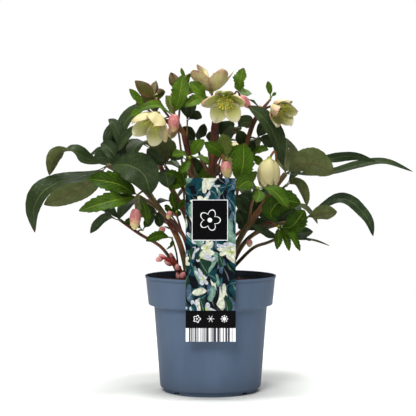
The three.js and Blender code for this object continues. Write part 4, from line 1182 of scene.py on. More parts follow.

# %% [markdown]
# Hellebore leaves are leathery. The upper side is dark green in uneven clouds with a lighter midrib,
# and the lower side is a matt grey-green with the veins standing out, often red-brown. Bracts and
# young leaves are a bright yellow-green. One function mixes all of them from a palette: it reads the
# marks of the blade to draw the midrib, the side veins and the fine net between them. It also darkens
# the upper side towards the blade's edges, which is painted shade.

# %% Leaves: finishes
def leaf_finish(name, palette, roughness, gloss):
    material, tree, shader = new_finish(name, roughness, Specular_IOR_Level=gloss, Subsurface_Weight=0.05,
                                        Subsurface_Scale=0.002, Subsurface_Radius=(0.6, 1.0, 0.2))
    across, along, number, side = read_marks(tree)
    clouds, grain = speckle(tree, 75, 4, 0.6), speckle(tree, 420, 4, 0.7)
    width, blotches = abs(across), speckle(tree, 30, 3, 0.55)
    midrib, pits = mask(width, 0.06, 0.015), mask(grain, 0.55, 0.35)
    phase = (along - width * VEIN_LEAN) * SIDE_VEINS
    lateral = mask(abs(maths("FRACT", phase) - 0.5), 0.455, 0.495) * mask(width, 0.95, 0.6)
    spot = add_node(tree, "ShaderNodeCombineXYZ", across * 7.0, phase * 2.2, number)
    meshes = add_node(tree, "ShaderNodeTexVoronoi", spot, None, 1.6, feature="DISTANCE_TO_EDGE")
    net = mask(meshes, 0.09, 0.02)
    deep, light, rib, vein = (palette[part] for part in ("deep", "light", "rib", "under_rib"))
    # painted shade: the last layer of the upper side darkens it towards the blade's edges
    upper = layered(deep, (mask(clouds, 0.34, 0.66), light), (number * 0.85, palette["warm"]),
                    (mask(blotches, 0.5, 0.36) * 0.55, deep), (pits * 0.45, deep), (lateral * 0.46, rib),
                    (net * 0.2, rib), (midrib * 0.6, rib), (mask(width, 0.8, 1.0) * 0.4, deep))
    lower = layered(palette["under"], (mask(clouds, 0.3, 0.7), palette["under_light"]), (net * 0.22, vein),
                    (lateral * 0.45, vein), (midrib * 0.7, vein), (pits * 0.3, light))
    dry_tip = mask(along + (clouds - 0.5) * 0.1, 0.93, 0.98) * mask(blotches, 0.5, 0.56)
    both = layered(upper, (mask(side, 0.3, 0.7), lower), (dry_tip * 0.8, srgb(74, 36, 26)))
    matt = add_node(tree, "ShaderNodeMapRange", side + clouds * 0.3, 0.0, 1.2, roughness - 0.06,
                    roughness + 0.3)
    paint(shader, Base_Color=both, Roughness=matt)
    raise_bump(shader, grain * 0.8 - (lateral + net * 0.45), 0.8, 0.0008)
    return material


finishes["old"] = ("leaf", leaf_finish("leathery_leaf", {
    "deep": srgb(17, 34, 15), "light": srgb(40, 57, 29), "warm": srgb(50, 62, 26), "rib": srgb(94, 110, 60),
    "under": srgb(74, 84, 42), "under_light": srgb(96, 104, 62), "under_rib": srgb(92, 60, 36)}, 0.4, 0.18))
finishes["young"] = ("young_leaf", leaf_finish("young_leaf", {
    "deep": srgb(16, 42, 0), "light": srgb(42, 76, 2), "warm": srgb(88, 120, 28), "rib": srgb(132, 154, 50),
    "under": srgb(74, 92, 34), "under_light": srgb(96, 114, 50), "under_rib": srgb(110, 82, 42)}, 0.35, 0.09))
print("finishes so far:", ", ".join(finishes))

# %% [markdown]
# All leaflets of a leaf end in one small knot on top of the stalk. The dice of each leaf are seeded by
# its own name, so a leaf keeps its ripples when another one is added. Two old blades twist towards
# their tips, one of them so far that it shows its grey-green lower side.

# %% Leaves: all of them
TWISTED = {("leaf_left_arch", 0): 2.3, ("leaf_right_arch", 2): 0.9}
KNOT, SMALL_KNOT = 0.8 * HUB, 0.6 * HUB


def make_leaf(name, node, seed, kind, hub, leaflets, knot):
    """A leaf with its knot, which stands for a node; its ripples follow the seed."""
    skin, dice = Skin(), random.Random(seed)
    for k, (width, face, points) in enumerate(leaflets):
        add_leaflet(skin, hub, width, face, points, dice, kind, TWISTED.get((seed, k), 0))
    skin.ball(hub, knot)
    return make_piece(name, skin, kind, node)


leaf_faces = sum(make_leaf(name + "_blade", name, name, *leaf, KNOT) for name, *leaf in all_leaves)
print(len(all_leaves), "leaves with", leaf_faces, "faces")

# %% [markdown]
# Flowers, buds and stalks come next, each from its own short table. A flower is a centre, the way its
# mouth looks, the length and width of its sepals, the roll of the first one, how much a sepal curls,
# how pink its back has turned with age, and how far each sepal opens. A bud is the point it hangs from
# and the way its tip points, its length and width, and how pink it is.

# %% Flowers and buds: the tables
FLOWERS = [
  ["flower_left", "sepal", [-68, -38, 359], [-0.38, -0.45, -0.81], 42, 36, 36, 0.6, 0.2,
    [56, 58, 46, 50, 54]],
  ["flower_faded", "faded", [-73, -4, 381], [-0.15, 0.9, 0.25], 31.8, 25, 38, 0.4, 0.6,
    [86, 34, 34, 60, 62]],
  ["flower_dusky", "faded", [-42, 20, 390], [0.1, 0.9, 0.35], 26, 22, 60, 0.4, 0.85, [58, 62, 54]],
  ["flower_cup", "sepal", [1, 14, 387], [-0.05, 0.1, 1], 42, 39, 228, 0.5, 0.7, [60, 72, 58, 62, 34]],
  ["flower_front", "sepal", [20, -34, 381], [-0.08, -0.76, -0.64], 37, 32, 92, 0.5, 0.6,
    [56, 64, 54, 50, 62]],
  ["flower_right", "sepal", [82, -24, 369], [0.45, -0.8, -0.4], 36, 35, 90, 0.75, 0.75,
    [50, 52, 50, 52, 54]],
  ["flower_globe", "sepal", [76, -46, 301], [-0.05, -0.25, -0.97], 38, 42, 38, 1.12, 0.05,
    [62, 64, 60, 66, 62]],
  ["flower_far", "sepal", [31, 110, 306], [0.1, 0.93, -0.25], 31, 28, 90, 0.5, 0.4, [58, 66, 62, 68, 64]],
]

BUDS = [
  ["bud_left", [-97, -44, 236], [-0.06, -0.1, -1], 27, 14.5, 0.8],
  ["bud_top_left", [-47, -45, 358], [-0.05, -0.15, -1], 23, 15, 0.95],
  ["bud_top_middle", [-1, -26, 374], [-0.9, -0.2, -0.3], 12, 10, 1.0],
  ["bud_crimson", [38, -26, 382], [0.62, -0.1, -0.75], 21, 10.5, 1.0],
  ["bud_middle", [18, -60, 297], [0.25, -0.2, -1], 22, 14.5, 0.7],
  ["bud_far", [-46, 96, 344], [-0.3, 0.5, -0.8], 22, 14, 0.6],
]

STEM_BUDS = {
  "stem_left_bract": [[[-52, -22, 233], [-0.3, -0.1, -0.9], 11, 8],
    [[-60, -14, 212], [-0.5, -0.2, -0.6], 11, 8]],
  "stem_right_low": [[[50, -12, 196], [0.1, -0.1, -1], 10, 8]],
  "stem_right_top": [[[64, 2, 369], [0.1, -0.3, -0.9], 8, 7]],
  "stem_top_left": [[[-62, -30, 351], [-0.2, -0.3, -0.9], 8, 7], [[-48, -4, 387], [-0.1, -0.2, -1], 9, 7]],
}
STEM_LEAVES = [
  ["stem_left_bract", [-44, -24, 232], [[10, FRONT, [-49, -28, 245], [-51, -30, 258]],
    [9, FRONT_RIGHT, [-38, -32, 242], [-34, -34, 250]]]],
  ["stem_left_low", [-50, -18, 198], [[14, FRONT, [-66, -28, 201], [-84, -34, 194]],
    [8, FRONT_LEFT, [-50, -30, 188], [-57, -36, 183]]]],
  ["stem_right_top", [78, 2, 380], [[9, FRONT, [76, 0, 391], [74, -1, 401]],
    [5, FRONT_RIGHT, [82, 2, 384], [85, 2, 386]]]],
  ["stem_top_left", [-33, -2, 401], [[6, FRONT_LEFT, [-35, -4, 409], [-38, -4, 418]],
    [6, FRONT_RIGHT, [-29, -3, 406], [-27, -6, 411]]]],
]
print(len(FLOWERS), "flowers and", len(BUDS), "buds")

# %% [markdown]
# Each stalk is a list of tubes: the first stands in the soil, the others branch from it. A tube is a
# radius, the name of the piece it carries, if any, and its points. The knot of that piece is added as
# its last point, so that nothing floats.

# %% Stalks: the table
STEMS = [
  ["stem_left", "stem", [
    [3.8, "leaf_left_arch", [-28, -8, 122], [-30, -8, 150], [-44, -8, 200], [-78, -8, 252], [-106, -6, 276]],
    [2.2, "leaf_left_upright", [-84, -8, 258], [-104, 8, 284]],
  ]],
  ["stem_left_bract", "stem", [
    [2.5, "leaf_left_bract", [-22, -26, 122], [-24, -24, 150], [-36, -20, 202], [-66, -18, 234]],
    [1.3, "bud_left", [-66, -18, 234], [-80, -28, 259], [-96, -44, 252]],
    [1.2, "", [-36, -20, 202], [-44, -22, 226], [-52, -22, 233]],
    [1.2, "", [-40, -19, 207], [-52, -16, 210], [-60, -14, 213]],
    [1.2, "", [-36, -20, 202], [-42, -23, 220], [-44, -24, 232]],
  ]],
  ["stem_left_low", "stem", [
    [2.2, "leaf_left_low", [-40, 8, 122], [-42, 8, 150], [-62, 8, 184], [-92, 8, 203]],
    [1.2, "", [-42, 8, 150], [-44, -12, 176], [-50, -18, 198]],
  ]],
  ["stem_top_left", "stem", [
    [4.2, "", [-14, 10, 122], [-15, 10, 150], [-22, 8, 240], [-26, 4, 290], [-34, -4, 330], [-42, -10, 346]],
    [2.0, "bract_top_left", [-38, -7, 338], [-42, -12, 348]],
    [1.6, "flower_left", [-36, -5, 334], [-46, -20, 340], [-52, -32, 344]],
    [1.3, "bud_top_left", [-40, -10, 342], [-44, -26, 349], [-49, -41, 368]],
    [1.6, "flower_faded", [-34, -4, 330], [-50, 6, 350], [-64, -10, 368]],
    [1.4, "bract_faded_flower", [-50, 6, 350], [-66, -12, 353]],
    [1.4, "flower_dusky", [-42, -10, 346], [-40, 0, 366], [-42, 4, 380]],
    [1.0, "", [-40, 0, 366], [-37, 0, 386], [-33, -2, 401]],
    [1.0, "", [-40, -10, 342], [-52, -26, 354], [-62, -30, 352]],
    [1.0, "", [-40, 0, 366], [-45, -3, 378], [-48, -4, 388]],
    [1.8, "leaf_middle_olive", [-22, 8, 240], [-40, 14, 268]],
  ]],
  ["stem_middle", "stem", [
    [6.2, "", [-2, 22, 122], [-2, 22, 150], [0, 22, 240], [4, 14, 310], [6, 2, 346], [6, -2, 364]],
    [1.8, "flower_cup", [6, 0, 356], [5, 8, 368], [3, 11, 378]],
    [1.7, "flower_front", [6, -1, 360], [14, -14, 372]],
    [1.2, "bud_top_middle", [6, -2, 362], [10, -18, 370], [7, -25, 377]],
    [1.5, "bract_top_middle", [6, -2, 360], [0, -4, 370]],
    [1.7, "bract_top_right", [6, 0, 354], [26, 0, 370]],
    [1.2, "bud_crimson", [26, 0, 370], [29, -14, 380], [34, -25, 388]],
    [1.9, "leaf_middle_shade", [3, 18, 290], [22, 22, 322]],
    [1.8, "leaf_middle_teal", [2, 20, 270], [-12, 28, 300]],
  ]],
  ["stem_middle_low", "stem", [
    [3.2, "", [0, -30, 122], [0, -30, 150], [4, -34, 220], [8, -36, 250], [14, -40, 276]],
    [2.0, "leaf_middle_tall", [4, -34, 220], [26, -52, 244]],
    [1.8, "leaf_middle_bud", [12, -39, 270], [16, -40, 286]],
    [1.3, "bud_middle", [13, -39, 272], [10, -52, 290], [16, -59, 306]],
    [1.8, "leaf_middle_star", [5, -35, 230], [-18, -36, 270], [-26, -38, 288]],
  ]],
  ["stem_right_top", "stem", [
    [3.4, "", [12, 10, 122], [13, 10, 150], [26, 10, 220], [40, 8, 290], [52, 6, 338],
      [62, 4, 358], [78, 2, 378]],
    [1.6, "flower_right", [60, 4, 354], [72, -10, 366]],
    [1.2, "", [58, 5, 350], [63, 2, 360], [64, 2, 370]],
  ]],
  ["stem_right", "stem", [
    [3.8, "leaf_right_arch", [16, -10, 122], [18, -10, 150], [40, -10, 200], [66, -12, 238], [84, -11, 264]],
    [1.7, "flower_globe", [72, -12, 246], [84, -30, 280], [84, -40, 310]],
    [1.8, "leaf_right_bright", [50, -11, 214], [53, -44, 240]],
    [1.6, "leaf_right_shade", [44, -10, 206], [57, -1, 219]],
    [1.7, "leaf_right_olive", [66, -12, 238], [84, 12, 256]],
  ]],
  ["stem_right_low", "stem", [
    [3.0, "leaf_right_far", [21, 12, 122], [23, 12, 150], [44, 4, 192], [72, 0, 211], [104, 2, 219]],
    [1.9, "leaf_right_curled", [50, 2, 198], [72, -20, 217]],
    [2.2, "leaf_right_low", [28, 12, 158], [54, -2, 184], [74, -4, 192]],
    [1.0, "", [44, 4, 192], [49, -8, 200], [50, -12, 197]],
  ]],
  ["stem_far_left", "stem", [
    [3.6, "leaf_far_6", [-18, 34, 122], [-20, 34, 150], [-30, 44, 220], [-58, 50, 276]],
    [2.0, "leaf_far_5", [-24, 38, 186], [-44, 62, 210], [-64, 78, 222]],
    [1.5, "bud_far", [-33, 46, 232], [-38, 76, 310], [-44, 90, 348]],
  ]],
  ["stem_far_right", "stem", [
    [3.6, "leaf_far_2", [8, 36, 122], [10, 36, 150], [22, 46, 220], [38, 60, 278]],
    [2.0, "leaf_far_1", [16, 42, 186], [46, 56, 212], [68, 68, 222]],
    [2.0, "leaf_far_3", [18, 43, 198], [16, 78, 232], [14, 100, 254]],
    [2.2, "leaf_far_4", [22, 46, 220], [-2, 66, 250], [-22, 92, 274]],
    [1.6, "flower_far", [-2, 66, 250], [4, 78, 290], [18, 96, 314]],
  ]],
  ["young_shoot", "shoot", [
    [3.4, "", [-38, -16, 124], [-38, -16, 148], [-42, -20, 160], [-54, -26, 168]],
    [3.0, "", [-41, -19, 158], [-51, -28, 168], [-66, -34, 174]],
    [2.6, "", [-40, -18, 155], [-45, -16, 165], [-50, -20, 176]],
  ]],
]

print(len(STEMS), "stalks,", sum(len(stalk[2]) for stalk in STEMS), "tubes")

# %% [markdown]
# A stalk is a tube that grows a little thinner upwards and has a thick collar where it leaves its
# parent. Its rings are carried along the path without twisting, by keeping each ring's side square to
# the path. Shallow ridges run along it, because a fleshy stalk is not perfectly round.

# %% Stalks: tubes
TUBE_SIDES = 14
RING_STEP = 3.0
COLLAR = 0.3
RIDGE = 0.05
RINGS_SIDE = Vector((0.31, 0.95, 0.1))


def add_tube(skin, points, radius, number, taper=0.14, tip=0):
    """A stalk along points; tip is how much of its width it loses in the last tenth."""
    path = SmoothPath(points)
    count = max(5, int(path.length / RING_STEP))
    side = squared(RINGS_SIDE, path.tangent(0))
    rings, marks = [], []
    for i in range(count + 1):
        share = i / count
        way, tangent = share * path.length, path.tangent(share)
        side = squared(side, tangent)
        other = tangent.cross(side)
        thick = radius * (1.04 - taper * share + COLLAR * math.exp(-way / (1.6 * radius)))
        thick *= 1 - tip * max(0, 10 * share - 9)
        ring, row = [], []
        for k in range(TUBE_SIDES):
            turn = 2 * math.pi * k / TUBE_SIDES
            round_radius = thick * (1 + RIDGE * math.sin(3 * turn + 0.05 * way + number * 9))
            ring.append(path.at(share) + (side * math.cos(turn) + other * math.sin(turn)) * round_radius)
            row.append((k / TUBE_SIDES, way / 100, number))
        rings.append(ring)
        marks.append(row)
    skin.rings(rings, marks)


print("a tube has", TUBE_SIDES, "sides")

# %% [markdown]
# Old flowering stalks are red-brown with olive patches. Long streaks and small pale dots break the
# colour up. The new shoot at the crown is pink-red.

# %% Stalks: finishes
def stalk_finish(name, shade, middle, light, fresh, dots, roughness):
    material, tree, shader = new_finish(name, roughness, Specular_IOR_Level=0.25, Coat_Weight=0.06,
                                        Coat_Roughness=0.35)
    number = read_marks(tree)[2]
    place = add_node(tree, "ShaderNodeTexCoord", out=3)
    stretched = add_node(tree, "ShaderNodeMapping", place, None, None, (1, 1, 0.22))
    streaks = speckle(tree, 260, 4, 0.6, stretched)
    youth = mask(speckle(tree, 13, 2, 0.5), 0.5, 0.62)
    pores = mask(add_node(tree, "ShaderNodeTexVoronoi", place, None, 420.0), 0.22, 0.1)
    base = layered(shade, (mask(streaks, 0.35, 0.68), middle),
                   (mask(speckle(tree, 22, 3, 0.5) + number * 0.12, 0.5, 0.68), light),
                   (youth * 0.6, fresh), (pores * 0.35, dots))
    paint(shader, Base_Color=base)
    raise_bump(shader, streaks, 0.35, 0.0005)
    return material


finishes["stem"] = ("stem", stalk_finish(
    "stalk_skin", srgb(36, 12, 6), srgb(88, 34, 22), srgb(104, 66, 34), srgb(66, 66, 28),
    srgb(136, 92, 60), 0.5))
finishes["shoot"] = ("young_shoot", stalk_finish(
    "shoot_skin", srgb(54, 5, 9), srgb(104, 18, 24), srgb(142, 42, 42), srgb(120, 62, 38),
    srgb(196, 122, 104), 0.42))
print("finishes so far:", ", ".join(finishes))

# %% [markdown]
# The knots that stalks carry are looked up by name, so a stalk ends exactly in the hub of its leaf or
# the back of its flower. The tip of a free tube is drawn to a point.

# %% Stalks: all of them
seats = {name: hub for name, _, hub, _ in all_leaves}
seats.update({name: sight(centre) for name, _, centre, *_ in FLOWERS})
seats.update({name: sight(top) for name, top, *_ in BUDS})
TAPER = {"stem": 0.14, "shoot": 0.4}
FREE_TIP = 0.6


def tube_places(carried, points):
    """The points of a tube of the table, with the knot of what it carries at its end."""
    return [sight(p) for p in points] + ([seats[carried]] if carried else [])


def make_stalk(name, kind, tubes):
    skin, dice = Skin(), random.Random(name)
    for radius, carried, *points in tubes:
        add_tube(skin, tube_places(carried, points), radius, dice.random(), TAPER[kind],
                 0 if carried else FREE_TIP)
    return make_piece(name + "_stalk", skin, kind, name)


stalk_faces = sum(make_stalk(*stalk) for stalk in STEMS)
print(len(STEMS), "stalks with", stalk_faces, "faces")

# %% [markdown]
# Small leaves that have not unfolded yet sit on the flowering stalks. They are leaflets like the
# others, gathered in one piece for each stalk that bears them.

# %% Stalks: their small leaves
for stalk, hub, leaflets in STEM_LEAVES:
    make_leaf(stalk + "_small_leaves", stalk, stalk + "_leaves", "young", *sighted(hub, leaflets), SMALL_KNOT)
print("small leaves on", ", ".join(stalk for stalk, *_ in STEM_LEAVES))

# %% [markdown]
# Between the large leaves a real plant is full of smaller ones that half hide each other. They carry
# no weight and take little room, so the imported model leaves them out. Each row here names the stalk
# and tube it grows from and how far along, then the kind, the knot, the width of its leaflets and
# their tips. The leaf stalk starts in the middle of that tube, so that it is rooted from every side.

# %% Leaves: the small ones inside the crown
INNER_LEAVES = [
  ["stem_top_left", 0, 0.86, "old", [-30, 10, 350], 15, [[-20, 14, 372], [-36, 16, 380], [-11, 14, 354]]],
  ["stem_top_left", 0, 0.62, "old", [-32, 12, 300], 15, [[-10, 20, 316], [-14, 22, 286], [-52, 14, 300]]],
  ["stem_top_left", 0, 0.36, "young", [-33, 6, 264], 13, [[-58, 4, 282], [-40, 10, 292], [-54, 2, 262]]],
  ["stem_top_left", 0, 0.30, "young", [-12, -4, 262], 12, [[4, -10, 276], [-8, -6, 288], [-2, -8, 250]]],
  ["stem_right_top", 0, 0.78, "old", [60, 14, 326], 17, [[82, 14, 316], [76, 18, 346], [48, 20, 306]]],
  ["stem_right_top", 0, 0.64, "young", [52, 12, 304], 12, [[75, 8, 312], [66, 12, 292], [40, 10, 316]]],
  ["stem_right", 0, 0.62, "old", [58, 6, 226], 20,
    [[84, 2, 246], [40, 10, 256], [88, 0, 218], [62, 10, 262]]],
  ["stem_right", 0, 0.40, "old", [46, 4, 206], 18, [[78, 0, 212], [34, 10, 232], [62, 8, 236]]],
  ["stem_left_bract", 0, 0.82, "old", [-68, -10, 236], 13, [[-82, -8, 212], [-66, -6, 212], [-86, -6, 230]]],
  ["stem_left_bract", 0, 0.55, "young", [-50, -14, 226], 9,
    [[-40, -18, 244], [-60, -16, 240], [-38, -16, 228]]],
  ["stem_left", 0, 0.93, "old", [-116, 2, 287], 20, [[-152, 14, 300], [-142, 18, 320]]],
  ["stem_left", 1, 0.90, "old", [-106, 10, 296], 17, [[-132, 20, 352], [-122, 16, 306]]],
  ["stem_left_low", 0, 0.80, "young", [-88, 4, 208], 12, [[-112, -2, 218], [-70, 2, 226]]],
  ["stem_middle", 0, 0.74, "old", [14, 26, 314], 16, [[36, 30, 300], [30, 30, 338], [-6, 30, 330]]],
  ["stem_middle", 0, 0.55, "old", [-8, 30, 270], 17, [[-32, 34, 262], [14, 36, 286], [-16, 36, 296]]],
  ["stem_right_low", 0, 0.74, "old", [84, 6, 214], 16, [[112, 4, 232], [70, 12, 236], [122, 4, 206]]],
]
INNER_STALK = 1.1


def inner_leaf(stalk, tube, share, kind, hub, width, tips):
    tubes = next(tubes for name, _, tubes in STEMS if name == stalk)
    _, carried, *route = tubes[tube]
    foot, knot = SmoothPath(tube_places(carried, route)).at(share), sight(hub)
    dice = random.Random(stalk + str(share))
    bend = foot.lerp(knot, 0.5) + Vector((0, 0, 1.5))
    add_tube(inner_skins["stem"], [foot, bend, knot], INNER_STALK, dice.random())
    for end in (sight(tip) for tip in tips):
        reach = (end - knot).length
        rise = Vector((0, -0.06 * reach, 0.16 * reach))
        points = [knot.lerp(end, 0.35) + rise, knot.lerp(end, 0.7) + rise, end]
        face = (dice.uniform(-0.5, 0.3), -1, dice.uniform(0, 0.8))
        add_leaflet(inner_skins[kind], knot, width, face, points, dice, kind)
    inner_skins[kind].ball(knot, 0.5 * HUB)


inner_skins = {"old": Skin(), "young": Skin(), "stem": Skin()}
for row in INNER_LEAVES:
    inner_leaf(*row)
inner_faces = sum(make_piece(name, inner_skins[kind], kind) for name, kind in (
    ("inner_old", "old"), ("inner_young", "young"), ("inner_stalks", "stem")))
print(len(INNER_LEAVES), "inner leaves with", inner_faces, "faces")

# %% [markdown]
# A hellebore's showy parts are five sepals that overlap like tiles, each curved round the flower's
# axis like a piece of a cup. One formula places a point of a sepal from how far along and across it
# lies: the lean from the axis changes on the way to the tip, and the tile edges lie in or out.

# %% Flowers: one sepal
TILED = ((-1, -1), (1, 1), (-1, -1), (1, -1), (1, 1))
TILE_LIFT = 0.075
WIDEST = 0.8
GLOBE_WIDEST = 1.15
FIRST_ROW = 0.05
SEPAL_ROWS = 22
SEPAL_COLUMNS = 14
SEPAL_HALF = 0.28
SEPAL_TIPS = {"sepal": (3.0, 0.64), "faded": (2.2, 0.82)}
RECEPTACLE = 3.4


def frame_of(direction):
    """Three directions square to each other, the first along the given one."""
    axis = Vector(direction).normalized()
    helper = Vector((0, 1, 0)) if abs(axis.z) > 0.9 else Vector((0, 0, 1))
    side = helper.cross(axis).normalized()
    return axis, side, axis.cross(side)


def sepal_point(centre, axes, sizes, roll, opening, edges, wave, s, u):
    """Where a sepal lies at s along and u across it, and which way is inwards there."""
    axis, side, up = axes
    length, width, curl, (late, blunt) = sizes
    widest = WIDEST if curl < 1 else GLOBE_WIDEST
    lean = opening * (1.3 - curl * s)
    half = max(0.3, width / 2 * min(1, 1.75 * s) * max(0, 1 - s ** late) ** blunt)
    lift = TILE_LIFT * edges[u > 0] * abs(u) * min(1, 3.5 * s)
    ruffle = 0.035 * math.sin(7 * s + wave + 2.2 * u) * abs(u) * s + 0.014 * math.sin(5 * u + wave) * s
    hollow = (0.1 * u * u * math.sin(math.pi * s) + lift + ruffle) * width
    radius = s * length * math.sin(lean)
    turn = roll + u * min(widest, 0.5 + 1.2 * s, half / max(radius, 0.1))
    radial = side * math.cos(turn) + up * math.sin(turn)
    inward = axis * math.sin(lean) - radial * math.cos(lean)
    place = (centre + axis * (s * length * math.cos(lean) + hollow * math.sin(lean))
             + radial * (radius - hollow * math.cos(lean)))
    return place, inward


def add_sepal(skin, number, *shape):
    """A sepal; shape is all that sepal_point wants to know before s and u."""
    def at(s, u):
        return sepal_point(*shape, s, u)[0]
    rows = []
    for i in range(SEPAL_ROWS + 1):
        s = FIRST_ROW + (1 - FIRST_ROW) * (i / SEPAL_ROWS) ** 0.85
        row = []
        for j in range(SEPAL_COLUMNS + 1):
            u = 2 * j / SEPAL_COLUMNS - 1
            place, inward = sepal_point(*shape, s, u)
            along = at(s + 0.01, u * 0.95) - at(s - 0.01, u * 0.95)
            across = at(s, u * 0.95 + 0.04) - at(s, u * 0.95 - 0.04)
            normal = across.cross(along).normalized()
            if normal.dot(inward) < 0:
                normal.negate()
            row.append((place, normal, SEPAL_HALF * (1 - 0.35 * abs(u)), (u, s, number)))
        rows.append(row)
    skin.sheet(rows)


print("sepal rows:", SEPAL_ROWS)

# %% [markdown]
# Inside, a sepal is cream with a green throat and fine veins that fan out from its foot. Its back
# flushes dusky pink with age, strongest along the edges and at the foot. Old sepals turn olive and
# purple-brown all over. The marks carry how far along the change has come for each sepal.

# %% Flowers: finishes
def sepal_finish(name, throat, middle, rim, back, flush, vein, roughness, veined):
    material, tree, shader = new_finish(name, roughness, Specular_IOR_Level=0.2, Subsurface_Weight=0.15,
                                        Subsurface_Scale=0.004, Subsurface_Radius=(0.9, 1.0, 0.6))
    across, along, number, side = read_marks(tree)
    width, clouds = abs(across), speckle(tree, 150, 4, 0.6)
    fan = maths("FRACT", across * 6.5 + clouds * 1.1)
    veins = mask(abs(fan - 0.5), 0.4, 0.5) * mask(along, 1.0, 0.55)
    inner = layered(throat, (mask(along, 0.1, 0.55), middle),
                    (maths("MAXIMUM", mask(along, 0.6, 1.0), mask(width, 0.55, 1.0)), rim),
                    (veins * veined, throat))
    edge_part = maths("MAXIMUM", mask(along, 0.72, 1.0), mask(width, 0.6, 1.0))
    pink = edge_part * 0.8 + mask(clouds, 0.45, 0.75)
    outer = layered(back, (mask(along, 0.4, 0.05), throat), (pink * number, flush),
                    (veins * (number * (veined + 0.2)), vein))
    both = layered(inner, (mask(side, 0.3, 0.7), outer), (mask(width, 0.92, 1.0) * 0.45, vein))
    paint(shader, Base_Color=both)
    raise_bump(shader, clouds - veins * 0.6, 0.3, 0.0003)
    return material


finishes["sepal"] = ("sepal", sepal_finish(
    "cream_sepal", srgb(130, 142, 42), srgb(171, 170, 100), srgb(196, 191, 158), srgb(174, 166, 118),
    srgb(170, 114, 106), srgb(124, 74, 68), 0.5, 0.7))
finishes["faded"] = ("faded_sepal", sepal_finish(
    "faded_sepal", srgb(64, 66, 18), srgb(96, 88, 44), srgb(130, 104, 80), srgb(66, 62, 22),
    srgb(90, 46, 46), srgb(50, 18, 26), 0.58, 0.8))
print("finishes so far:", ", ".join(finishes))

# %% [markdown]
# A flower's sepals share one frame whose axis is the way the mouth looks. The first sepal is rolled
# round that axis by the table's angle and the others follow in even steps, as petals do in nature.

# %% Flowers: all of them
SEPAL_STEP = 72


def make_flower(name, kind, centre, mouth, length, width, roll, curl, flush, openings):
    skin, dice = Skin(), random.Random(name)
    place, axes, sizes = sight(centre), frame_of(mouth), (length, width, curl, SEPAL_TIPS[kind])
    for k, opening in enumerate(openings):
        number = clamp(flush + dice.uniform(-0.15, 0.15))
        add_sepal(skin, number, place, axes, sizes, math.radians(roll + SEPAL_STEP * k),
                  math.radians(opening), TILED[k], dice.uniform(0, 6.28))
    skin.ball(place, 0.9 * RECEPTACLE, (0, 0, flush))
    return make_piece(name + "_sepals", skin, kind, name)


flower_faces = sum(make_flower(*flower) for flower in FLOWERS)
print(len(FLOWERS), "flowers with", flower_faces, "faces")

# %% [markdown]
# The heart of the flower repeats three small things round the axis: stamens with powdery anthers, a
# ring of green nectar cups at their feet, and a few curved styles in the middle. One node tree makes
# them all. Each kind is set on points that step round by the golden angle, which spreads any number of
# stamens evenly, and each stores a number that tells the material which part it is.

# %% Flowers: the heart as a node tree
GOLDEN_ANGLE = math.radians(137.508)


def heart_tree():
    tree, given = new_tree("flower_heart", [
        ("Stamens", "Int"), ("Stamen Length", "Float"), ("Spread", "Float"), ("Nectar Cups", "Int"),
        ("Styles", "Int"), ("Centre", "Vector"), ("Turn", "Rotation"), ("Seed", "Int"),
        ("Pollen", "Material")])
    index = add_node(tree, "GeometryNodeInputIndex")

    def rod(bend, thickness):
        """A thin bent rod one unit tall."""
        return bent_rod(tree, (0, 0, 0), (0, 0, 0.4), (bend / 2, 0, 0.8), (bend, 0, 1), 5, thickness)

    def marked(geometry, number):
        return add_node(tree, "GeometryNodeStoreNamedAttribute", geometry,
                        named={"Name": "part", "Value": number}, data_type="FLOAT", domain="POINT")

    def moved(geometry, **ways):
        return add_node(tree, "GeometryNodeTransform", geometry, named=ways)

    def ring_of(shape, count, spread, size, jitter, shift):
        """Copies of a shape, each turned on by the golden angle and leaning out further."""
        seed = given["Seed"] + shift
        lean = maths("SQRT", index / count) * spread + random_number(tree, -jitter, jitter, seed)
        angles = add_node(tree, "ShaderNodeCombineXYZ", None, lean, index * GOLDEN_ANGLE)
        return copies(tree, add_node(tree, "GeometryNodePoints", count), shape, angles,
                      random_number(tree, 0.82, 1.12, seed) * size)

    anther = moved(add_node(tree, "GeometryNodeMeshIcoSphere", 0.085, 2),
                   Translation=(0.1, 0, 1.0), Scale=(0.75, 0.75, 1.35))
    stamen = joined(tree, marked(rod(0.1, 0.024), 0.0), marked(anther, 1.0))
    cup = moved(add_node(tree, "GeometryNodeMeshCone", named={
        "Vertices": 8, "Side Segments": 2, "Radius Top": 0.2, "Radius Bottom": 0.1, "Depth": 0.55}),
        Translation=(0, 0, 0.75))
    heart = joined(
        tree, ring_of(stamen, given["Stamens"], given["Spread"], given["Stamen Length"], 0.12, 0),
        ring_of(marked(cup, 0.5), given["Nectar Cups"], 1.35, 0.0046, 0.08, 1),
        ring_of(marked(rod(0.2, 0.05), 0.4), given["Styles"], 0.3, 0.0115, 0.05, 2))
    placed = moved(heart, Translation=given["Centre"], Rotation=given["Turn"])
    return give_out(tree, placed, given["Pollen"])


def pollen_finish():
    """Pale filaments, green nectar cups and yellow anthers, told apart by the stored part number."""
    material, tree, shader = new_finish("pollen", 0.7, Specular_IOR_Level=0.3, Subsurface_Weight=0.1,
                                        Subsurface_Scale=0.002)
    part = add_node(tree, "ShaderNodeAttribute", attribute_name="part", out=2)
    dust = speckle(tree, 1400, 3, 0.6)
    yellow = blend(dust, srgb(214, 204, 60), srgb(190, 184, 76))
    paint(shader, Base_Color=layered(srgb(222, 222, 150), (mask(part, 0.1, 0.45), srgb(150, 172, 60)),
                                     (mask(part, 0.6, 0.95), yellow)))
    raise_bump(shader, dust, 0.4, 0.0002)
    return material


heart = heart_tree()
pollen = pollen_finish()
print("heart tree has", len(heart.nodes), "nodes")

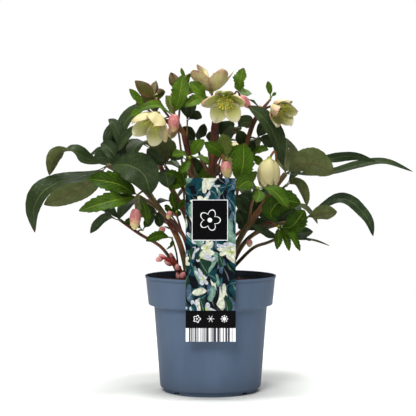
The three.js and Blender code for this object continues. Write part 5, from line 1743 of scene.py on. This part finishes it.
# %% [markdown]
# Open flowers show their heart, so each gets one, and so do the upright cup and the half-closed globe.
# Old flowers have shed nearly all their stamens and keep the nectar cups and the styles. The numbers
# here are stamens, and the seeds follow the order of the names.

# %% Flowers: all hearts
OPEN_FLOWERS = ("flower_left", "flower_front", "flower_right", "flower_far")
HEARTS = {"flower_left": 24, "flower_front": 52, "flower_right": 44, "flower_far": 44, "flower_cup": 40,
          "flower_globe": 30, "flower_faded": 3, "flower_dusky": 3}
FIRST_SEED = 11


def make_heart(name, stamens, seed):
    centre, mouth, length = next(row[2:5] for row in FLOWERS if row[0] == name)
    name_of_heart, axis = name.replace("flower", "stamens"), Vector(mouth).normalized()
    piece = plain_mesh(name_of_heart + "_tuft", [], [])
    grow(piece, heart, {
        "Stamens": stamens, "Stamen Length": 0.4 * length * MM, "Spread": 0.72, "Nectar Cups": 13,
        "Styles": 4, "Centre": tuple((sight(centre) + axis * 0.7 * RECEPTACLE) * MM),
        "Turn": axis.to_track_quat("Z", "Y").to_euler(), "Seed": seed, "Pollen": pollen})
    piece.data.shade_smooth()
    dress(piece, "stamens", name_of_heart if name in OPEN_FLOWERS else name)
    return len(piece.data.polygons)


heart_faces = sum(make_heart(name, count, FIRST_SEED + k) for k, (name, count) in enumerate(HEARTS.items()))
print(len(HEARTS), "hearts with", heart_faces, "faces")

# %% [markdown]
# A bud is the same five sepals still wrapped round each other. It is turned round its own axis, and
# its radius rises slowly and drops at each of five slanting seams, which is how one sepal's edge lies
# over the next. A dark line just under each seam is painted shade of that edge. Buds are crimson to
# dusky pink at the foot and paler towards the tip.

# %% Buds
BUD_OUTLINE = ((0, 0), (0.3, 0.05), (0.46, 0.26), (0.5, 0.46), (0.41, 0.74), (0.2, 0.94), (0.03, 1))
BUD_RINGS, BUD_SIDES = 26, 40
BUD_STEP = 0.055


def add_bud(skin, top, direction, length, width, flush):
    axis, side, up = frame_of(direction)
    outline = SmoothPath([Vector((r * width, h * length, 0)) for r, h in BUD_OUTLINE])
    rings, marks = [], []
    for i in range(1, BUD_RINGS + 1):
        dot = outline.at(i / BUD_RINGS)
        along = dot.y / length
        ring, row = [], []
        for k, (x, y) in enumerate(circle(BUD_SIDES)):
            seam = (5 * k / BUD_SIDES + 0.5 * along) % 1
            radius = dot.x * (1 + BUD_STEP * (seam ** 0.7 - 0.6) * math.sin(math.pi * min(1, along)))
            ring.append(top + axis * dot.y + (side * x + up * y) * radius)
            row.append((seam, along, flush))
        rings.append(ring)
        marks.append(row)
    skin.rings(rings, marks)


def make_buds(name, kind, node, flush, buds):
    """One piece of all the given buds (top, direction, length, width)."""
    skin = Skin()
    for top, *shape in buds:
        add_bud(skin, sight(top), *shape, flush)
    return make_piece(name, skin, kind, node)


def bud_finish(name, tips, feet, deeps, line):
    material, tree, shader = new_finish(name, 0.5, Specular_IOR_Level=0.25, Subsurface_Weight=0.08,
                                        Subsurface_Scale=0.003)
    seam, along, flush, _ = read_marks(tree)
    clouds = speckle(tree, 240, 4, 0.6)
    tip, base, deep = (blend(mask(clouds, 0.3, 0.7), *pair) for pair in (tips, feet, deeps))
    # painted shade: the last layer lays a dark line just under each seam, where the next sepal's edge
    # overhangs
    paint(shader, Base_Color=layered(base, (mask(flush, 0.6, 1.0), deep),
                                     (mask(along + clouds * 0.3 - flush, -0.25, 0.3), tip),
                                     (mask(seam, 0.14, 0.0) * 0.6, line)))
    raise_bump(shader, clouds, 0.25, 0.0003)
    return material


finishes["bud"] = ("bud", bud_finish("bud_skin", (srgb(178, 170, 98), srgb(204, 182, 136)),
                                     (srgb(160, 92, 90), srgb(190, 132, 122)),
                                     (srgb(150, 74, 80), srgb(184, 122, 116)), srgb(112, 50, 50)))
for name, *shape, flush in BUDS:
    make_buds(name + "_skin", "bud", name, flush, [shape])
print(len(BUDS), "buds")

# %% [markdown]
# The smallest buds stay on their stalk and sink a little into it. They are gathered per stalk.

# %% Buds: the small ones
SMALL_FLUSH = 0.75
for stalk, buds in STEM_BUDS.items():
    make_buds(stalk + "_small_buds", "bud", stalk, SMALL_FLUSH, buds)
print("small buds on", ", ".join(STEM_BUDS))

# %% [markdown]
# The new shoot is a knobbly thing: its leaves are still folded under short, fleshy scales. Scales are
# shaped like small buds, so the same function makes them, set along the shoot with a tip outwards.

# %% Young shoot: folded scales
SHOOT_SCALES = [
  [[-50, -24, 163], [-0.7, -0.3, 0.4], 12, 7],
  [[-62, -32, 172], [-0.9, -0.3, -0.3], 10, 7],
  [[-58, -30, 171], [-0.8, -0.3, 0.5], 11, 6],
  [[-49, -19, 172], [-0.5, -0.2, 0.9], 8, 5],
  [[-42, -21, 155], [-0.2, -0.6, 0.9], 11, 7],
  [[-38, -18, 145], [0.35, -0.5, 0.8], 11, 8],
  [[-39, -14, 144], [-0.5, -0.3, 1], 11, 7],
]
SCALE_FLUSH = 0.4
scale_red = (srgb(92, 20, 28), srgb(148, 58, 60))
finishes["scale"] = ("young_shoot", bud_finish("scale_skin", (srgb(190, 112, 116), srgb(212, 152, 144)),
                                               scale_red, scale_red, srgb(84, 18, 24)))
make_buds("young_shoot_scales", "scale", "young_shoot", SCALE_FLUSH, SHOOT_SCALES)
print(len(SHOOT_SCALES), "scales on the shoot")
